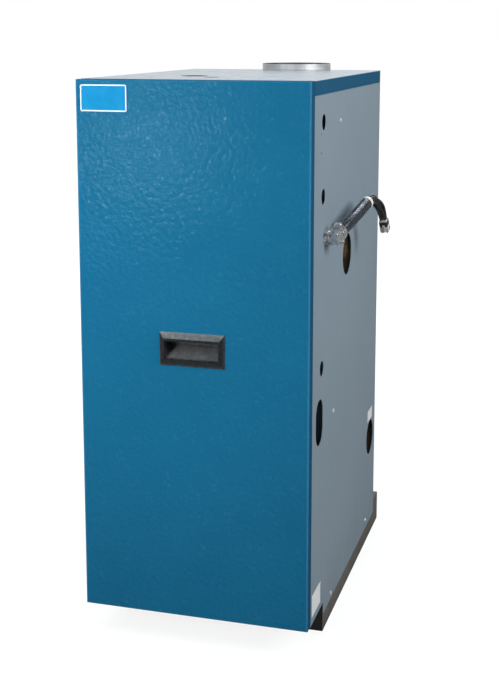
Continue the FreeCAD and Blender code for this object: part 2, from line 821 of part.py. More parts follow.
def tie_rods():
    """Two rods, each with a nut at both ends."""
    solids = []
    for depth, z in rod_places():
        x = (BLOCK_X, BLOCK_X + NUT_T)
        nut = hexagon_x(x, depth, z, NUT_R).cut(rod_x(grown(x, OVERCUT), depth, z, ROD_R))
        solids += [rod_x(both(BLOCK_X + ROD_TAIL), depth, z, ROD_R), nut, mirrored(nut)]
    return group(solids)


# Insulation

def side_insulation():
    x = (INSULATION_X, INNER_X)
    return block(x, (VESTIBULE_BACK, REAR_IN), (PAN_TOP_Z, INSULATION_TOP_Z))


def right_insulation():
    x = grown((INSULATION_X, INNER_X), OVERCUT)
    holes = [
        rod_x(x, SUPPLY_D, SUPPLY_Z, SUPPLY_HOLE_R),
        rod_x(x, RETURN_D, RETURN_Z, RETURN_HOLE_R),
    ]
    return side_insulation().cut(holes)


def left_insulation():
    return mirrored(side_insulation())


def rear_insulation():
    depth = (REAR_IN - INSULATION_T, REAR_IN)
    board = block(both(INSULATION_X), depth, (PAN_TOP_Z, INSULATION_TOP_Z))
    return board.cut(flue_opening(grown(depth, OVERCUT)))


def top_insulation():
    z = (INSULATION_TOP_Z, TOP_IN_Z)
    board = block(both(INNER_X), (VESTIBULE_BACK, REAR_IN), z)
    return board.cut(top_holes(grown(z, OVERCUT)))


# Flue

def flue_collector():
    half = COLLECTOR_W / 2
    front = SECTION_FRONT + COLLECTOR_INSET
    outer = block(both(half), (front, JACKET_D), (SECTION_TOP_Z, COLLECTOR_TOP_Z))
    inner = block(both(half - COLLECTOR_T), (front + COLLECTOR_T, JACKET_D + OVERCUT),
                  (SECTION_TOP_Z - OVERCUT, COLLECTOR_TOP_Z - COLLECTOR_T))
    return outer.cut(inner)


def draft_hood():
    half = HOOD_W / 2
    depth = (JACKET_D, JACKET_D + HOOD_D)
    shell = block(both(half), depth, (HOOD_BOTTOM_Z, HOOD_TOP_Z))
    flanges = block(both(half + HOOD_FLANGE), (JACKET_D, JACKET_D + HOOD_T), (HOOD_BOTTOM_Z, HOOD_TOP_Z))
    inner_z = (HOOD_BOTTOM_Z - OVERCUT, HOOD_TOP_Z - HOOD_T)
    inner = block(both(half - HOOD_T), grown(depth, -HOOD_T), inner_z)
    through = grown((JACKET_D, JACKET_D + HOOD_T), OVERCUT)
    holes = [rod_y(HOOD_SCREW_X, through, z, SCREW_R) for z in hood_screw_zs()]
    outlet_z = grown((HOOD_TOP_Z - HOOD_T, HOOD_TOP_Z), OVERCUT)
    outlet = rod_z(0, COLLAR_D, outlet_z, COLLAR_R - COLLAR_T)
    cuts = [inner, flue_opening(through), outlet] + holes + [mirrored(hole) for hole in holes]
    return joined(shell, flanges).cut(cuts)


def hood_baffle():
    front = JACKET_D + BAFFLE_FRONT
    rear = JACKET_D + BAFFLE_REAR
    outline = [
        (front, BAFFLE_HIGH_Z),
        (front, BAFFLE_HIGH_Z + BAFFLE_T),
        (rear, BAFFLE_LOW_Z + BAFFLE_T),
        (rear, BAFFLE_LOW_Z),
    ]
    return prism_x(outline, both(HOOD_W / 2 - HOOD_T))


def flue_collar():
    z = (HOOD_TOP_Z, COLLAR_TOP_Z)
    wall = rod_z(0, COLLAR_D, z, COLLAR_R)
    flange = rod_z(0, COLLAR_D, (HOOD_TOP_Z, HOOD_TOP_Z + COLLAR_T), COLLAR_R + COLLAR_FLANGE)
    bore = rod_z(0, COLLAR_D, grown(z, OVERCUT), COLLAR_R - COLLAR_T)
    return joined(wall, flange).cut(bore)


# Manual-reset switches

def switch(seat, outward):
    """A round switch on a plate; seat is on the surface and outward points away from it."""
    across = V(0, 0, 1)
    plate = bar_along(seat, outward, across, (SWITCH_PLATE_W, SWITCH_PLATE_W, SWITCH_PLATE_T))
    body = Part.makeCylinder(SWITCH_R, SWITCH_L, seat, outward)
    mouth = seat + outward * SWITCH_L
    depth = BUTTON_DEPTH + BUTTON_TRAVEL + BUTTON_PLAY
    hole = Part.makeCylinder(BUTTON_R + BUTTON_PLAY, depth + OVERCUT, mouth - outward * depth, outward)
    return joined(plate, body).cut(hole)


def reset_button(seat, outward):
    inner = seat + outward * (SWITCH_L - BUTTON_DEPTH)
    return Part.makeCylinder(BUTTON_R, BUTTON_DEPTH + BUTTON_PROUD, inner, outward)


def spill_seat():
    return point(-HOOD_W / 2, COLLAR_D, SPILL_Z)


def rollout_seat():
    z = ACCESS_TOP_Z + ACCESS_OVERLAP + SWITCH_PLATE_W / 2
    return point(ROLLOUT_X, VESTIBULE_D, z)


# Burners and gas train

def burner(x):
    z = BURNER_Z
    shell = rod_y(x, (BURNER_FRONT, BURNER_END), z, BURNER_R)
    flare = rod_y(x, (BURNER_FRONT, BURNER_FRONT + FLARE_L), z, FLARE_R)
    bore = rod_y(x, (BURNER_FRONT - OVERCUT, BURNER_END - BURNER_WALL), z, BURNER_R - BURNER_WALL)
    width = (x - BURNER_R, x + BURNER_R)
    slot_z = (z + BURNER_R - PORT_SLOT_DEPTH, z + BURNER_R + OVERCUT)
    starts = [PORT_SLOT_FIRST + index * PORT_SLOT_PITCH for index in range(SLOT_COUNT)]
    slots = [block(width, (start, start + PORT_SLOT_W), slot_z) for start in starts]
    return joined(shell, flare).cut([bore] + slots)


def burner_access_panel():
    half = ACCESS_W / 2 + ACCESS_OVERLAP
    depth = (VESTIBULE_D - ACCESS_T, VESTIBULE_D)
    sheet = block(both(half), depth, grown((ACCESS_Z0, ACCESS_TOP_Z), ACCESS_OVERLAP))
    through = grown(depth, OVERCUT)
    holes = [rod_y(x, through, BURNER_Z, BURNER_R + BURNER_PLAY) for x in BURNER_XS]
    holes.append(rod_y(PILOT_X, through, PILOT_Z, PILOT_R + PILOT_PLAY))
    return sheet.cut(holes)


def gas_manifold():
    pipe = rod_x(both(MANIFOLD_HALF), GAS_D, BURNER_Z, MANIFOLD_R)
    riser = rod_z(VALVE_X, GAS_D, (BURNER_Z, VALVE_BOTTOM_Z), MANIFOLD_R)
    pads = [rod_y(x, (GAS_D, GAS_D + MANIFOLD_PAD_L), BURNER_Z, MANIFOLD_PAD_R) for x in BURNER_XS]
    legs = []
    for side in (-1, 1):
        x = sorted((side * MANIFOLD_HALF, side * (MANIFOLD_HALF - MANIFOLD_LEG_W)))
        z = (BURNER_Z - MANIFOLD_LEG_H / 2, BURNER_Z + MANIFOLD_LEG_H / 2)
        legs.append(block(x, (GAS_D, VESTIBULE_D - ACCESS_T), z))
    bores = [
        rod_x((-MANIFOLD_HALF - OVERCUT, MANIFOLD_HALF - MANIFOLD_LEG_W), GAS_D, BURNER_Z, MANIFOLD_BORE_R),
        rod_z(VALVE_X, GAS_D, (BURNER_Z, VALVE_BOTTOM_Z + OVERCUT), MANIFOLD_BORE_R),
    ]
    drilled = (GAS_D, GAS_D + MANIFOLD_PAD_L + OVERCUT)
    bores += [rod_y(x, drilled, BURNER_Z, ORIFICE_R + ORIFICE_PLAY) for x in BURNER_XS]
    return joined(pipe, riser, *pads, *legs).cut(bores)


def burner_orifices():
    seat = GAS_D + MANIFOLD_PAD_L
    orifices = []
    for x in BURNER_XS:
        stem = rod_y(x, (seat - ORIFICE_STEM, seat), BURNER_Z, ORIFICE_R)
        head = rod_y(x, (seat, seat + ORIFICE_HEAD_L), BURNER_Z, ORIFICE_HEAD_R)
        orifices.append(joined(stem, head))
    return group(orifices)


def gas_valve():
    depth = (GAS_D - VALVE_D / 2, GAS_D + VALVE_D / 2)
    casting = block((VALVE_X - VALVE_W / 2, VALVE_RIGHT), depth, (VALVE_BOTTOM_Z, VALVE_TOP_Z))
    body = casting.makeFillet(VALVE_EDGE_R, casting.Edges)
    boss = rod_x((VALVE_RIGHT, VALVE_RIGHT + VALVE_BOSS_L), GAS_D, GAS_Z, VALVE_BOSS_R)
    mouth = VALVE_RIGHT + VALVE_BOSS_L
    inlet = rod_x((mouth - GAS_THREAD_L, mouth + OVERCUT), GAS_D, GAS_Z, GAS_THREAD_R)
    seat_z = grown((VALVE_TOP_Z - STEM_L, VALVE_TOP_Z), OVERCUT)
    seat = rod_z(VALVE_X, GAS_D, seat_z, STEM_R + STEM_PLAY)
    return joined(body, boss).cut([inlet, seat])


def gas_valve_knob():
    low = VALVE_TOP_Z + KNOB_GAP
    high = low + KNOB_H
    cap = rod_z(VALVE_X, GAS_D, (low, high), KNOB_R)
    grip_x = (VALVE_X - GRIP_W / 2, VALVE_X + GRIP_W / 2)
    grip = block(grip_x, (GAS_D - GRIP_L / 2, GAS_D + GRIP_L / 2), (high, high + GRIP_H))
    stem = rod_z(VALVE_X, GAS_D, (VALVE_TOP_Z - STEM_L, low), STEM_R)
    return joined(cap, grip, stem)


def pilot_burner():
    barrel = rod_y(PILOT_X, (PILOT_FRONT, PILOT_REAR), PILOT_Z, PILOT_R)
    hood = block((PILOT_X - PILOT_R, PILOT_X + PILOT_R), (PILOT_REAR, PILOT_REAR + 2 * PILOT_R),
                 (PILOT_Z - PILOT_R, PILOT_Z + PILOT_R))
    return joined(barrel, hood)


def pilot_tube():
    """Small gas tube from the underside of the valve to the pilot burner."""
    route = [
        point(PILOT_TUBE_X, GAS_D, VALVE_BOTTOM_Z),
        point(PILOT_TUBE_X, GAS_D, PILOT_Z + 2 * PILOT_TUBE_JOG),
        point(PILOT_X, GAS_D, PILOT_Z + PILOT_TUBE_JOG),
        point(PILOT_X, GAS_D, PILOT_Z),
        point(PILOT_X, PILOT_FRONT, PILOT_Z),
    ]
    edges = rounded_route(route, lambda run, turn: PILOT_TUBE_BEND)[0]
    return swept_tube(edges, route[0], route[1] - route[0], PILOT_TUBE_R)


# Controls

def control_box():
    x = (CONTROL_X - CONTROL_W / 2, CONTROL_X + CONTROL_W / 2)
    z = (CONTROL_Z, CONTROL_Z + CONTROL_H)
    outer = block(x, (CONTROL_FRONT, VESTIBULE_D), z)
    hollow = (CONTROL_FRONT - OVERCUT, VESTIBULE_D - CONTROL_WALL)
    return outer.cut(block(grown(x, -CONTROL_WALL), hollow, grown(z, -CONTROL_WALL)))


def dial_z():
    return CONTROL_Z + CONTROL_H / 2


def control_cover():
    x = (CONTROL_X - CONTROL_W / 2, CONTROL_X + CONTROL_W / 2)
    z = (CONTROL_Z, CONTROL_Z + CONTROL_H)
    depth = (COVER_FRONT, CONTROL_FRONT)
    hole = rod_y(CONTROL_X, grown(depth, OVERCUT), dial_z(), STEM_R + STEM_PLAY)
    return block(x, depth, z).cut(hole)


def control_dial():
    back = COVER_FRONT - DIAL_GAP
    disc = rod_y(CONTROL_X, (back - DIAL_T, back), dial_z(), DIAL_R)
    stem = rod_y(CONTROL_X, (back, CONTROL_FRONT + STEM_L), dial_z(), STEM_R)
    front = back - DIAL_T
    rim = dial_z() + DIAL_R
    pointer_x = (CONTROL_X - POINTER_W / 2, CONTROL_X + POINTER_W / 2)
    pointer_d = (front - OVERCUT, front + POINTER_DEPTH)
    pointer = block(pointer_x, pointer_d, (rim - POINTER_L, rim + OVERCUT))
    return joined(disc, stem).cut(pointer)


def gauge_body():
    case = rod_y(GAUGE_X, (GAUGE_FRONT, VESTIBULE_D), GAUGE_Z, GAUGE_R)
    recess = rod_y(GAUGE_X, (GAUGE_FRONT - OVERCUT, GAUGE_FRONT + GAUGE_RECESS), GAUGE_Z, GAUGE_R - GAUGE_RIM)
    post = rod_y(GAUGE_X, (NEEDLE_D - NEEDLE_T, GAUGE_FRONT + GAUGE_RECESS), GAUGE_Z, POST_R)
    return joined(case.cut(recess), post)


def gauge_needle():
    depth = (NEEDLE_D, NEEDLE_D + NEEDLE_T)
    hub = rod_y(GAUGE_X, depth, GAUGE_Z, NEEDLE_HUB_R)
    blade_x = (GAUGE_X - NEEDLE_W / 2, GAUGE_X + NEEDLE_W / 2)
    blade = block(blade_x, depth, (GAUGE_Z, GAUGE_Z + NEEDLE_TIP))
    tail_x = (GAUGE_X - NEEDLE_TAIL_W / 2, GAUGE_X + NEEDLE_TAIL_W / 2)
    tail = block(tail_x, depth, (GAUGE_Z - NEEDLE_TAIL, GAUGE_Z))
    hole = rod_y(GAUGE_X, grown(depth, OVERCUT), GAUGE_Z, POST_R + POST_PLAY)
    needle = joined(hub, blade, tail).cut(hole)
    needle.rotate(point(GAUGE_X, NEEDLE_D, GAUGE_Z), V(0, 1, 0), NEEDLE_REST_DEG)
    return needle


def gauge_lens():
    return rod_y(GAUGE_X, (GAUGE_FRONT, GAUGE_FRONT + LENS_T), GAUGE_Z, GAUGE_R - GAUGE_RIM - LENS_PLAY)


def junction_box():
    x = (INNER_X - JUNCTION_W, INNER_X)
    z = (JUNCTION_Z, JUNCTION_Z + JUNCTION_H)
    depth = (JUNCTION_FRONT, VESTIBULE_D)
    outer = block(x, depth, z)
    inner = block(grown(x, -JUNCTION_WALL), grown(depth, -JUNCTION_WALL), grown(z, -JUNCTION_WALL))
    wall = grown((INNER_X - JUNCTION_WALL, INNER_X), OVERCUT)
    entry = rod_x(wall, CONNECTOR_D, CONNECTOR_Z, CONNECTOR_R + CONNECTOR_PLAY)
    return outer.cut([inner, entry])


# Connector, conduit, bushing, wires and plug

def outlet_direction():
    return V(*OUTLET_DIRECTION).normalize()


def elbow_centre():
    return point(PANEL_X + ELBOW_OUT, CONNECTOR_D, CONNECTOR_Z)


def connector_mouth():
    return elbow_centre() + outlet_direction() * OUTLET_L


def conduit_connector():
    inside = INNER_X - JUNCTION_WALL - CONNECTOR_TAIL
    tail = rod_x((inside, PANEL_X), CONNECTOR_D, CONNECTOR_Z, CONNECTOR_R)
    shoulder = hexagon_x((PANEL_X, PANEL_X + SHOULDER_T), CONNECTOR_D, CONNECTOR_Z, SHOULDER_R)
    neck = rod_x((PANEL_X, PANEL_X + ELBOW_OUT), CONNECTOR_D, CONNECTOR_Z, ELBOW_R)
    knuckle = Part.makeSphere(ELBOW_R, elbow_centre())
    outlet = Part.makeCylinder(OUTLET_R, OUTLET_L, elbow_centre(), outlet_direction())
    return joined(tail, shoulder, neck, knuckle, outlet)


def connector_locknut():
    x = (INNER_X - JUNCTION_WALL - LOCKNUT_T, INNER_X - JUNCTION_WALL)
    nut = hexagon_x(x, CONNECTOR_D, CONNECTOR_Z, LOCKNUT_R)
    return nut.cut(rod_x(grown(x, OVERCUT), CONNECTOR_D, CONNECTOR_Z, CONNECTOR_R))


def rounded_route(points, radius_of):
    """Straight runs joined by tangent arcs. Gives the edges and each arc's radius."""
    edges = []
    radii = []
    start = points[0]
    for before, corner, after in zip(points, points[1:], points[2:]):
        back = (before - corner).normalize()
        ahead = (after - corner).normalize()
        turn = math.pi - back.getAngle(ahead)
        run = min((before - corner).Length, (after - corner).Length)
        radius = radius_of(run, turn)
        trim = radius * math.tan(turn / 2)
        arc_start = corner + back * trim
        arc_end = corner + ahead * trim
        middle = corner + (back + ahead).normalize() * (radius / math.cos(turn / 2) - radius)
        edges.append(Part.LineSegment(start, arc_start).toShape())
        edges.append(Part.Arc(arc_start, middle, arc_end).toShape())
        radii.append(radius)
        start = arc_end
    edges.append(Part.LineSegment(start, points[-1]).toShape())
    return edges, radii


def swept_tube(edges, start, heading, radius):
    section = Part.Wire([Part.makeCircle(radius, start, heading)])
    return Part.Wire(edges).makePipeShell([section], True, False)


def widest_arc(run, turn):
    return ARC_SHARE * run / math.tan(turn / 2)


def panel_points(route):
    return [point(PANEL_X + out, CONNECTOR_D + back, CONNECTOR_Z + up) for out, back, up in route]


def conduit_points():
    mouth = connector_mouth()
    return [mouth, mouth + outlet_direction() * CONDUIT_LEAD] + panel_points(CONDUIT_ROUTE)


def conduit_end():
    """The conduit's end and its heading there."""
    route = conduit_points()
    return route[-1], (route[-1] - route[-2]).normalize()


def wires_points():
    end, heading = conduit_end()
    return [end, end + heading * WIRES_LEAD] + panel_points(WIRES_ROUTE)


def place_along(edges, distance):
    """The point and heading at a distance along a chain of edges."""
    for edge in edges:
        if distance <= edge.Length or edge is edges[-1]:
            parameter = edge.getParameterByLength(min(distance, edge.Length))
            return edge.valueAt(parameter), edge.tangentAt(parameter)
        distance -= edge.Length


def ring_along(edges, distance, radius):
    """A circle square to the route, with a steady X axis so that a loft doesn't twist."""
    centre, heading = place_along(edges, distance)
    circle = Part.Circle(centre, heading, radius)
    upright = V(0, 0, 1)
    circle.XAxis = (upright - heading * upright.dot(heading)).normalize()
    return Part.Wire([circle.toShape()])


def harness_conduit():
    """Interlocked flexible conduit: ribs along the route, and a bore."""
    route = conduit_points()
    edges, radii = rounded_route(route, widest_arc)
    length = sum(edge.Length for edge in edges)
    count = int(length / CONDUIT_PITCH)
    step = length / count
    fall = RIB_SLOPE + RIB_CREST
    foot = fall + RIB_SLOPE
    rib = ((0, CONDUIT_ROOT_R), (RIB_SLOPE, CONDUIT_R), (fall, CONDUIT_R), (foot, CONDUIT_ROOT_R))
    rings = []
    for index in range(count):
        rings += [ring_along(edges, (index + share) * step, radius) for share, radius in rib]
    rings.append(ring_along(edges, length, CONDUIT_ROOT_R))
    bore = swept_tube(edges, route[0], route[1] - route[0], CONDUIT_BORE_R)
    print("conduit length %.1f, ribs %d, arcs %s" % (length, count, [round(r) for r in radii]))
    return Part.makeLoft(rings, True, True).cut(bore)


def conduit_bushing():
    """The plastic bushing that keeps the wires off the conduit's cut end."""
    end, heading = conduit_end()
    ring = Part.makeCylinder(BUSHING_R, BUSHING_T, end, heading)
    return ring.cut(Part.makeCylinder(WIRES_R + WIRES_PLAY, BUSHING_T, end, heading))


def harness_wires():
    route = wires_points()
    edges, radii = rounded_route(route, widest_arc)
    tube = swept_tube(edges, route[0], route[1] - route[0], WIRES_R)
    length = sum(edge.Length for edge in edges)
    share = tube.Volume / (math.pi * WIRES_R ** 2 * length)
    print("wires length %.1f, arcs %s, volume share %.5f" % (length, [round(r) for r in radii], share))
    return tube


def harness_plug():
    """A small moulded plug in line with the wires' last run."""
    route = wires_points()
    end = route[-1]
    heading = (end - route[-2]).normalize()
    across = heading.cross(V(1, 0, 0)).normalize()
    return bar_along(end, heading, across, (PLUG_W, PLUG_H, PLUG_L))


def pieces():
    """Every piece by its name."""
    named = {
        "left_base_rail": mirrored(base_rail()),
        "right_base_rail": base_rail(),
        "front_base_member": front_base_member(),
        "rear_base_member": rear_base_member(),
        "base_pan": base_pan(),
        "left_side_panel": left_side_panel(),
        "right_side_panel": right_side_panel(),
        "jacket_screws": jacket_screws(),
        "rear_panel": rear_panel(),
        "top_panel": top_panel(),
        "vestibule_panel": vestibule_panel(),
        "upper_crossbar": crossbar(TOP_IN_Z - BAR_H),
        "lower_crossbar": crossbar(LOWER_BAR_Z),
        "door_magnets": door_magnets(),
        "door_pins": door_pins(),
        "front_door": front_door(),
        "door_handle": door_handle(),
        "badge_plate": badge_plate(),
        "door_brackets": door_brackets(),
        "left_end_section": left_end_section(),
        "right_end_section": right_end_section(),
        "push_nipples": push_nipples(),
        "tie_rods": tie_rods(),
        "left_insulation": left_insulation(),
        "right_insulation": right_insulation(),
        "rear_insulation": rear_insulation(),
        "top_insulation": top_insulation(),
        "flue_collector": flue_collector(),
        "draft_hood": draft_hood(),
        "hood_baffle": hood_baffle(),
        "flue_collar": flue_collar(),
        "spill_switch": switch(spill_seat(), V(-1, 0, 0)),
        "spill_reset_button": reset_button(spill_seat(), V(-1, 0, 0)),
        "gas_manifold": gas_manifold(),
        "burner_orifices": burner_orifices(),
        "burner_access_panel": burner_access_panel(),
        "gas_valve": gas_valve(),
        "gas_valve_knob": gas_valve_knob(),
        "pilot_burner": pilot_burner(),
        "pilot_tube": pilot_tube(),
        "rollout_switch": switch(rollout_seat(), V(0, -1, 0)),
        "rollout_reset_button": reset_button(rollout_seat(), V(0, -1, 0)),
        "control_box": control_box(),
        "control_cover": control_cover(),
        "control_dial": control_dial(),
        "gauge_body": gauge_body(),
        "gauge_needle": gauge_needle(),
        "gauge_lens": gauge_lens(),
        "junction_box": junction_box(),
        "conduit_connector": conduit_connector(),
        "connector_locknut": connector_locknut(),
        "harness_conduit": harness_conduit(),
        "conduit_bushing": conduit_bushing(),
        "harness_wires": harness_wires(),
        "harness_plug": harness_plug(),
    }
    for index in range(1, SECTION_COUNT - 1):
        named["middle_section_%d" % index] = middle_section(index)
    for index, x in enumerate(BURNER_XS):
        named["burner_%d" % (index + 1)] = burner(x)
    return named


def main():
    os.makedirs("parts", exist_ok=True)
    for name, shape in pieces().items():
        shape.exportStep("parts/%s.step" % name)


main()
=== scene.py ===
import json
import math
import random

import bmesh
import bpy
from mathutils import Matrix, Vector


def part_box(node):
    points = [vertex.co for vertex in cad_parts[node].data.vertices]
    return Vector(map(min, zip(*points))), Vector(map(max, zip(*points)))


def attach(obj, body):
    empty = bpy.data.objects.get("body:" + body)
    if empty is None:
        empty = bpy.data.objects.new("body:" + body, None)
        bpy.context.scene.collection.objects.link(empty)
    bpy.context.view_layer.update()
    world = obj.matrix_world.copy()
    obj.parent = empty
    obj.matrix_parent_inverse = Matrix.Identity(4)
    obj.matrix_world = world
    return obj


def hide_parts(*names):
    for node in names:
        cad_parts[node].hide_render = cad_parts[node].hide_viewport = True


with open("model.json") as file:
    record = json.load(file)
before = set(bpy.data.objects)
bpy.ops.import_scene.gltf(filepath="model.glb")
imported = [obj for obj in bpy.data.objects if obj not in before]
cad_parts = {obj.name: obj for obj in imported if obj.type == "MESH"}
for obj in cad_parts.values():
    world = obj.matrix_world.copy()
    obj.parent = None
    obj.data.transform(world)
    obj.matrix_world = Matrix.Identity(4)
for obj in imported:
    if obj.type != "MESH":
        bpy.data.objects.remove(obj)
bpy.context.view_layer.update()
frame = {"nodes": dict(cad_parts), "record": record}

MM = 0.001
RIGHT = Vector((1, 0, 0))
FRONT = Vector((0, -1, 0))
UP = Vector((0, 0, 1))

# Depths in mm run from the door's face, and the frame's y from the middle of its box
CENTRE_D = 417.0


def depth_y(depth):
    """The frame's y, in metres, of a depth in mm."""
    return (depth - CENTRE_D) * MM


def at(x, depth, z):
    """The frame's place, in metres, of an x, a depth and a height in mm."""
    return Vector((x, depth - CENTRE_D, z)) * MM


# Camera, from a least-squares fit to the object's corners in the photograph
CAMERA_PLACE = (0.6674, -2.3711, 1.0993)
CAMERA_TURN = 0.2813
CAMERA_PITCH = -0.1596
CAMERA_LENS = 63.1
CAMERA_SENSOR = 36.0
CAMERA_SHIFT_Y = -0.17


# Node trees

# Sockets of a colour mix node, whose names are the same for every kind of value
MIX_SHARE, MIX_A, MIX_B, MIX_RESULT = 0, 6, 7, 2


class Nodes:
    """A node tree in the making. Most helpers add a node and give its output."""

    def __init__(self, tree, place):
        self.tree = tree
        self.place = self.add("TexCoord").outputs[place]

    def feed(self, socket, value):
        """Links an output to a socket, or sets the socket's value. Colours have three parts."""
        if isinstance(value, bpy.types.NodeSocket):
            self.tree.links.new(value, socket)
        elif socket.type == "RGBA":
            socket.default_value = (*value, 1.0)
        else:
            socket.default_value = value

    def put(self, node, **inputs):
        """Feeds a node's inputs by their names, with _ for each space."""
        for key, value in inputs.items():
            self.feed(node.inputs[key.replace("_", " ")], value)
        return node

    def fill(self, node, *values):
        """Feeds a node's inputs in their order."""
        for socket, value in zip(node.inputs, values):
            self.feed(socket, value)
        return node

    def add(self, kind, **inputs):
        return self.put(self.tree.nodes.new("ShaderNode" + kind), **inputs)

    def maths(self, operation, *values):
        node = self.add("Math")
        node.operation = operation
        return self.fill(node, *values).outputs[0]

    def times(self, a, b):
        return self.maths("MULTIPLY", a, b)

    def plus(self, a, b):
        return self.maths("ADD", a, b)

    def vectors(self, operation, *values, output="Vector"):
        node = self.add("VectorMath")
        node.operation = operation
        return self.fill(node, *values).outputs[output]

    def level(self, value, low, high, into=(0.0, 1.0)):
        """Maps low..high of a value to a new range, and stops there."""
        node = self.add("MapRange", Value=value, From_Min=low, From_Max=high,
                        To_Min=into[0], To_Max=into[1])
        return node.outputs["Result"]

    def light_path(self, *kinds):
        """1 for a ray of any of these kinds, and 0 for others."""
        path = self.add("LightPath")
        value = path.outputs[kinds[0]]
        for kind in kinds[1:]:
            value = self.maths("MAXIMUM", value, path.outputs[kind])
        return value


class Shader(Nodes):
    """A procedural material in the making, with the part's own coordinates in metres."""

    def __init__(self, name):
        self.mat = bpy.data.materials.new(name)
        self.mat.use_nodes = True
        super().__init__(self.mat.node_tree, "Object")

    def stretched(self, scale):
        """The part's coordinates, for a noise that is finer along an axis."""
        node = self.add("Mapping", Vector=self.place, Scale=scale)
        return node.outputs["Vector"]

    def noise(self, scale, detail=3.0, rough=0.55, place=None):
        """Noise with a scale per metre, layers of finer detail, and their strength."""
        node = self.add("TexNoise", Vector=place or self.place, Scale=scale,
                        Detail=detail, Roughness=rough)
        return node.outputs["Fac"]

    def cells(self, scale):
        """A random value for each of the cells that fill space."""
        cells = self.add("TexVoronoi", Vector=self.place, Scale=scale)
        parts = self.add("SeparateColor", Color=cells.outputs["Color"])
        return parts.outputs["Red"]

    def axis(self, name):
        return self.add("SeparateXYZ", Vector=self.place).outputs[name]

    def far_from(self, x, y):
        """Distance from an upright axis."""
        off = self.vectors("SUBTRACT", self.place, (x, y, 0.0))
        flat = self.vectors("MULTIPLY", off, (1.0, 1.0, 0.0))
        return self.vectors("LENGTH", flat, output="Value")

    def spread(self, noise, into=(0.0, 1.0)):
        """Spreads the middle of a noise's range, where most of it lies, over a new range."""
        return self.level(noise, 0.3, 0.7, into)

    def mix(self, share, a, b):
        """Colour a, with a share of colour b."""
        node = self.add("Mix")
        node.data_type = "RGBA"
        for socket, value in ((MIX_SHARE, share), (MIX_A, a), (MIX_B, b)):
            self.feed(node.inputs[socket], value)
        return node.outputs[MIX_RESULT]

    def mottle(self, scale, dark, light, detail=3):
        """Two colours in soft clouds."""
        return self.mix(self.spread(self.noise(scale, detail)), dark, light)

    def bump(self, height, strength, depth, under=None):
        """A normal, bent by a height that is so many metres deep, over another normal."""
        node = self.add("Bump", Strength=strength, Distance=depth, Height=height)
        if under is not None:
            self.feed(node.inputs["Normal"], under)
        return node.outputs["Normal"]

    def done(self, colour, rough, **inputs):
        bsdf = self.tree.nodes["Principled BSDF"]
        self.put(bsdf, Base_Color=colour, Roughness=rough, **inputs)
        return self.mat


# Materials. Each starts from a base colour and mixes other colours in, where a mask says so.

# Colours in linear light. A plural has the dark and the light ends of a mottle.
ENAMEL_BLUES = ((0.0068, 0.104, 0.210), (0.0080, 0.116, 0.225))
GRAIN_BLUE = (0.0075, 0.138, 0.255)
FLAKE_BLUE = (0.040, 0.180, 0.300)
# painted shade of the enamel's flanges
FLANGE_SHADE_BLUE = (0.0040, 0.050, 0.110)
# painted highlight along the bends of the door's sides
BEND_HIGHLIGHT_BLUE = (0.060, 0.225, 0.410)
ENAMEL_SHEEN = (0.62, 0.95, 1.0)
# painted shade round the rims of the top panel's holes
HOLE_RIM_SHADE = (0.010, 0.011, 0.012)
PANEL_GREYS = ((0.223, 0.292, 0.346), (0.242, 0.312, 0.368))
STREAK_GREY = (0.27, 0.335, 0.385)
SCUFF_GREY = (0.29, 0.33, 0.36)
GRIME_GREY = (0.13, 0.135, 0.135)
BASE_BROWNS = ((0.085, 0.078, 0.066), (0.150, 0.142, 0.122))
RUBBED_BROWN = (0.050, 0.046, 0.040)
CHIP_GREY = (0.24, 0.23, 0.21)
# painted shade on the rails' front ends
RAIL_END_SHADE = (0.006, 0.006, 0.006)
ZINC_GREYS = ((0.56, 0.575, 0.585), (0.71, 0.725, 0.735))
BLOOM_GREY = (0.56, 0.565, 0.56)
# soot and painted shade inside the flue collar
SOOT_AND_SHADE_BLACK = (0.035, 0.033, 0.031)
STEEL_GREYS = ((0.36, 0.36, 0.355), (0.56, 0.56, 0.555))
STEEL_RUST = (0.26, 0.19, 0.13)
IRON_GREYS = ((0.040, 0.037, 0.034), (0.085, 0.076, 0.068))
IRON_RUST = (0.16, 0.075, 0.035)
FIBRE_BROWNS = ((0.20, 0.115, 0.045), (0.58, 0.39, 0.19))
LUMP_BROWN = (0.30, 0.20, 0.10)
# painted shade low down on the boards
LOW_SHADE_BROWN = (0.020, 0.015, 0.012)
# painted shade on the boards' tops
TOP_SHADE_BLACK = (0.012, 0.011, 0.010)
# painted shade on the boards' outer faces, seen through the panel's holes
SIDE_SHADE_BLACK = (0.010, 0.010, 0.010)
PULL_BLACKS = ((0.005, 0.006, 0.007), (0.010, 0.011, 0.012))
CUP_GREYS = ((0.050, 0.054, 0.056), (0.085, 0.089, 0.091))
SCRATCH_GREY = (0.11, 0.115, 0.12)
PULL_SHEEN = (0.84, 0.96, 1.0)
CASTING_GREYS = ((0.52, 0.535, 0.55), (0.78, 0.795, 0.81))
CASTING_STAIN = (0.10, 0.104, 0.11)
ARMOUR_GREYS = ((0.115, 0.135, 0.165), (0.250, 0.285, 0.335))
ARMOUR_STAIN = (0.020, 0.024, 0.031)
SCRATCH_BLUE = (0.25, 0.42, 0.60)
CONTROL_GREYS = ((0.28, 0.29, 0.29), (0.36, 0.37, 0.37))
LENS_WHITE = (0.94, 0.96, 0.96)
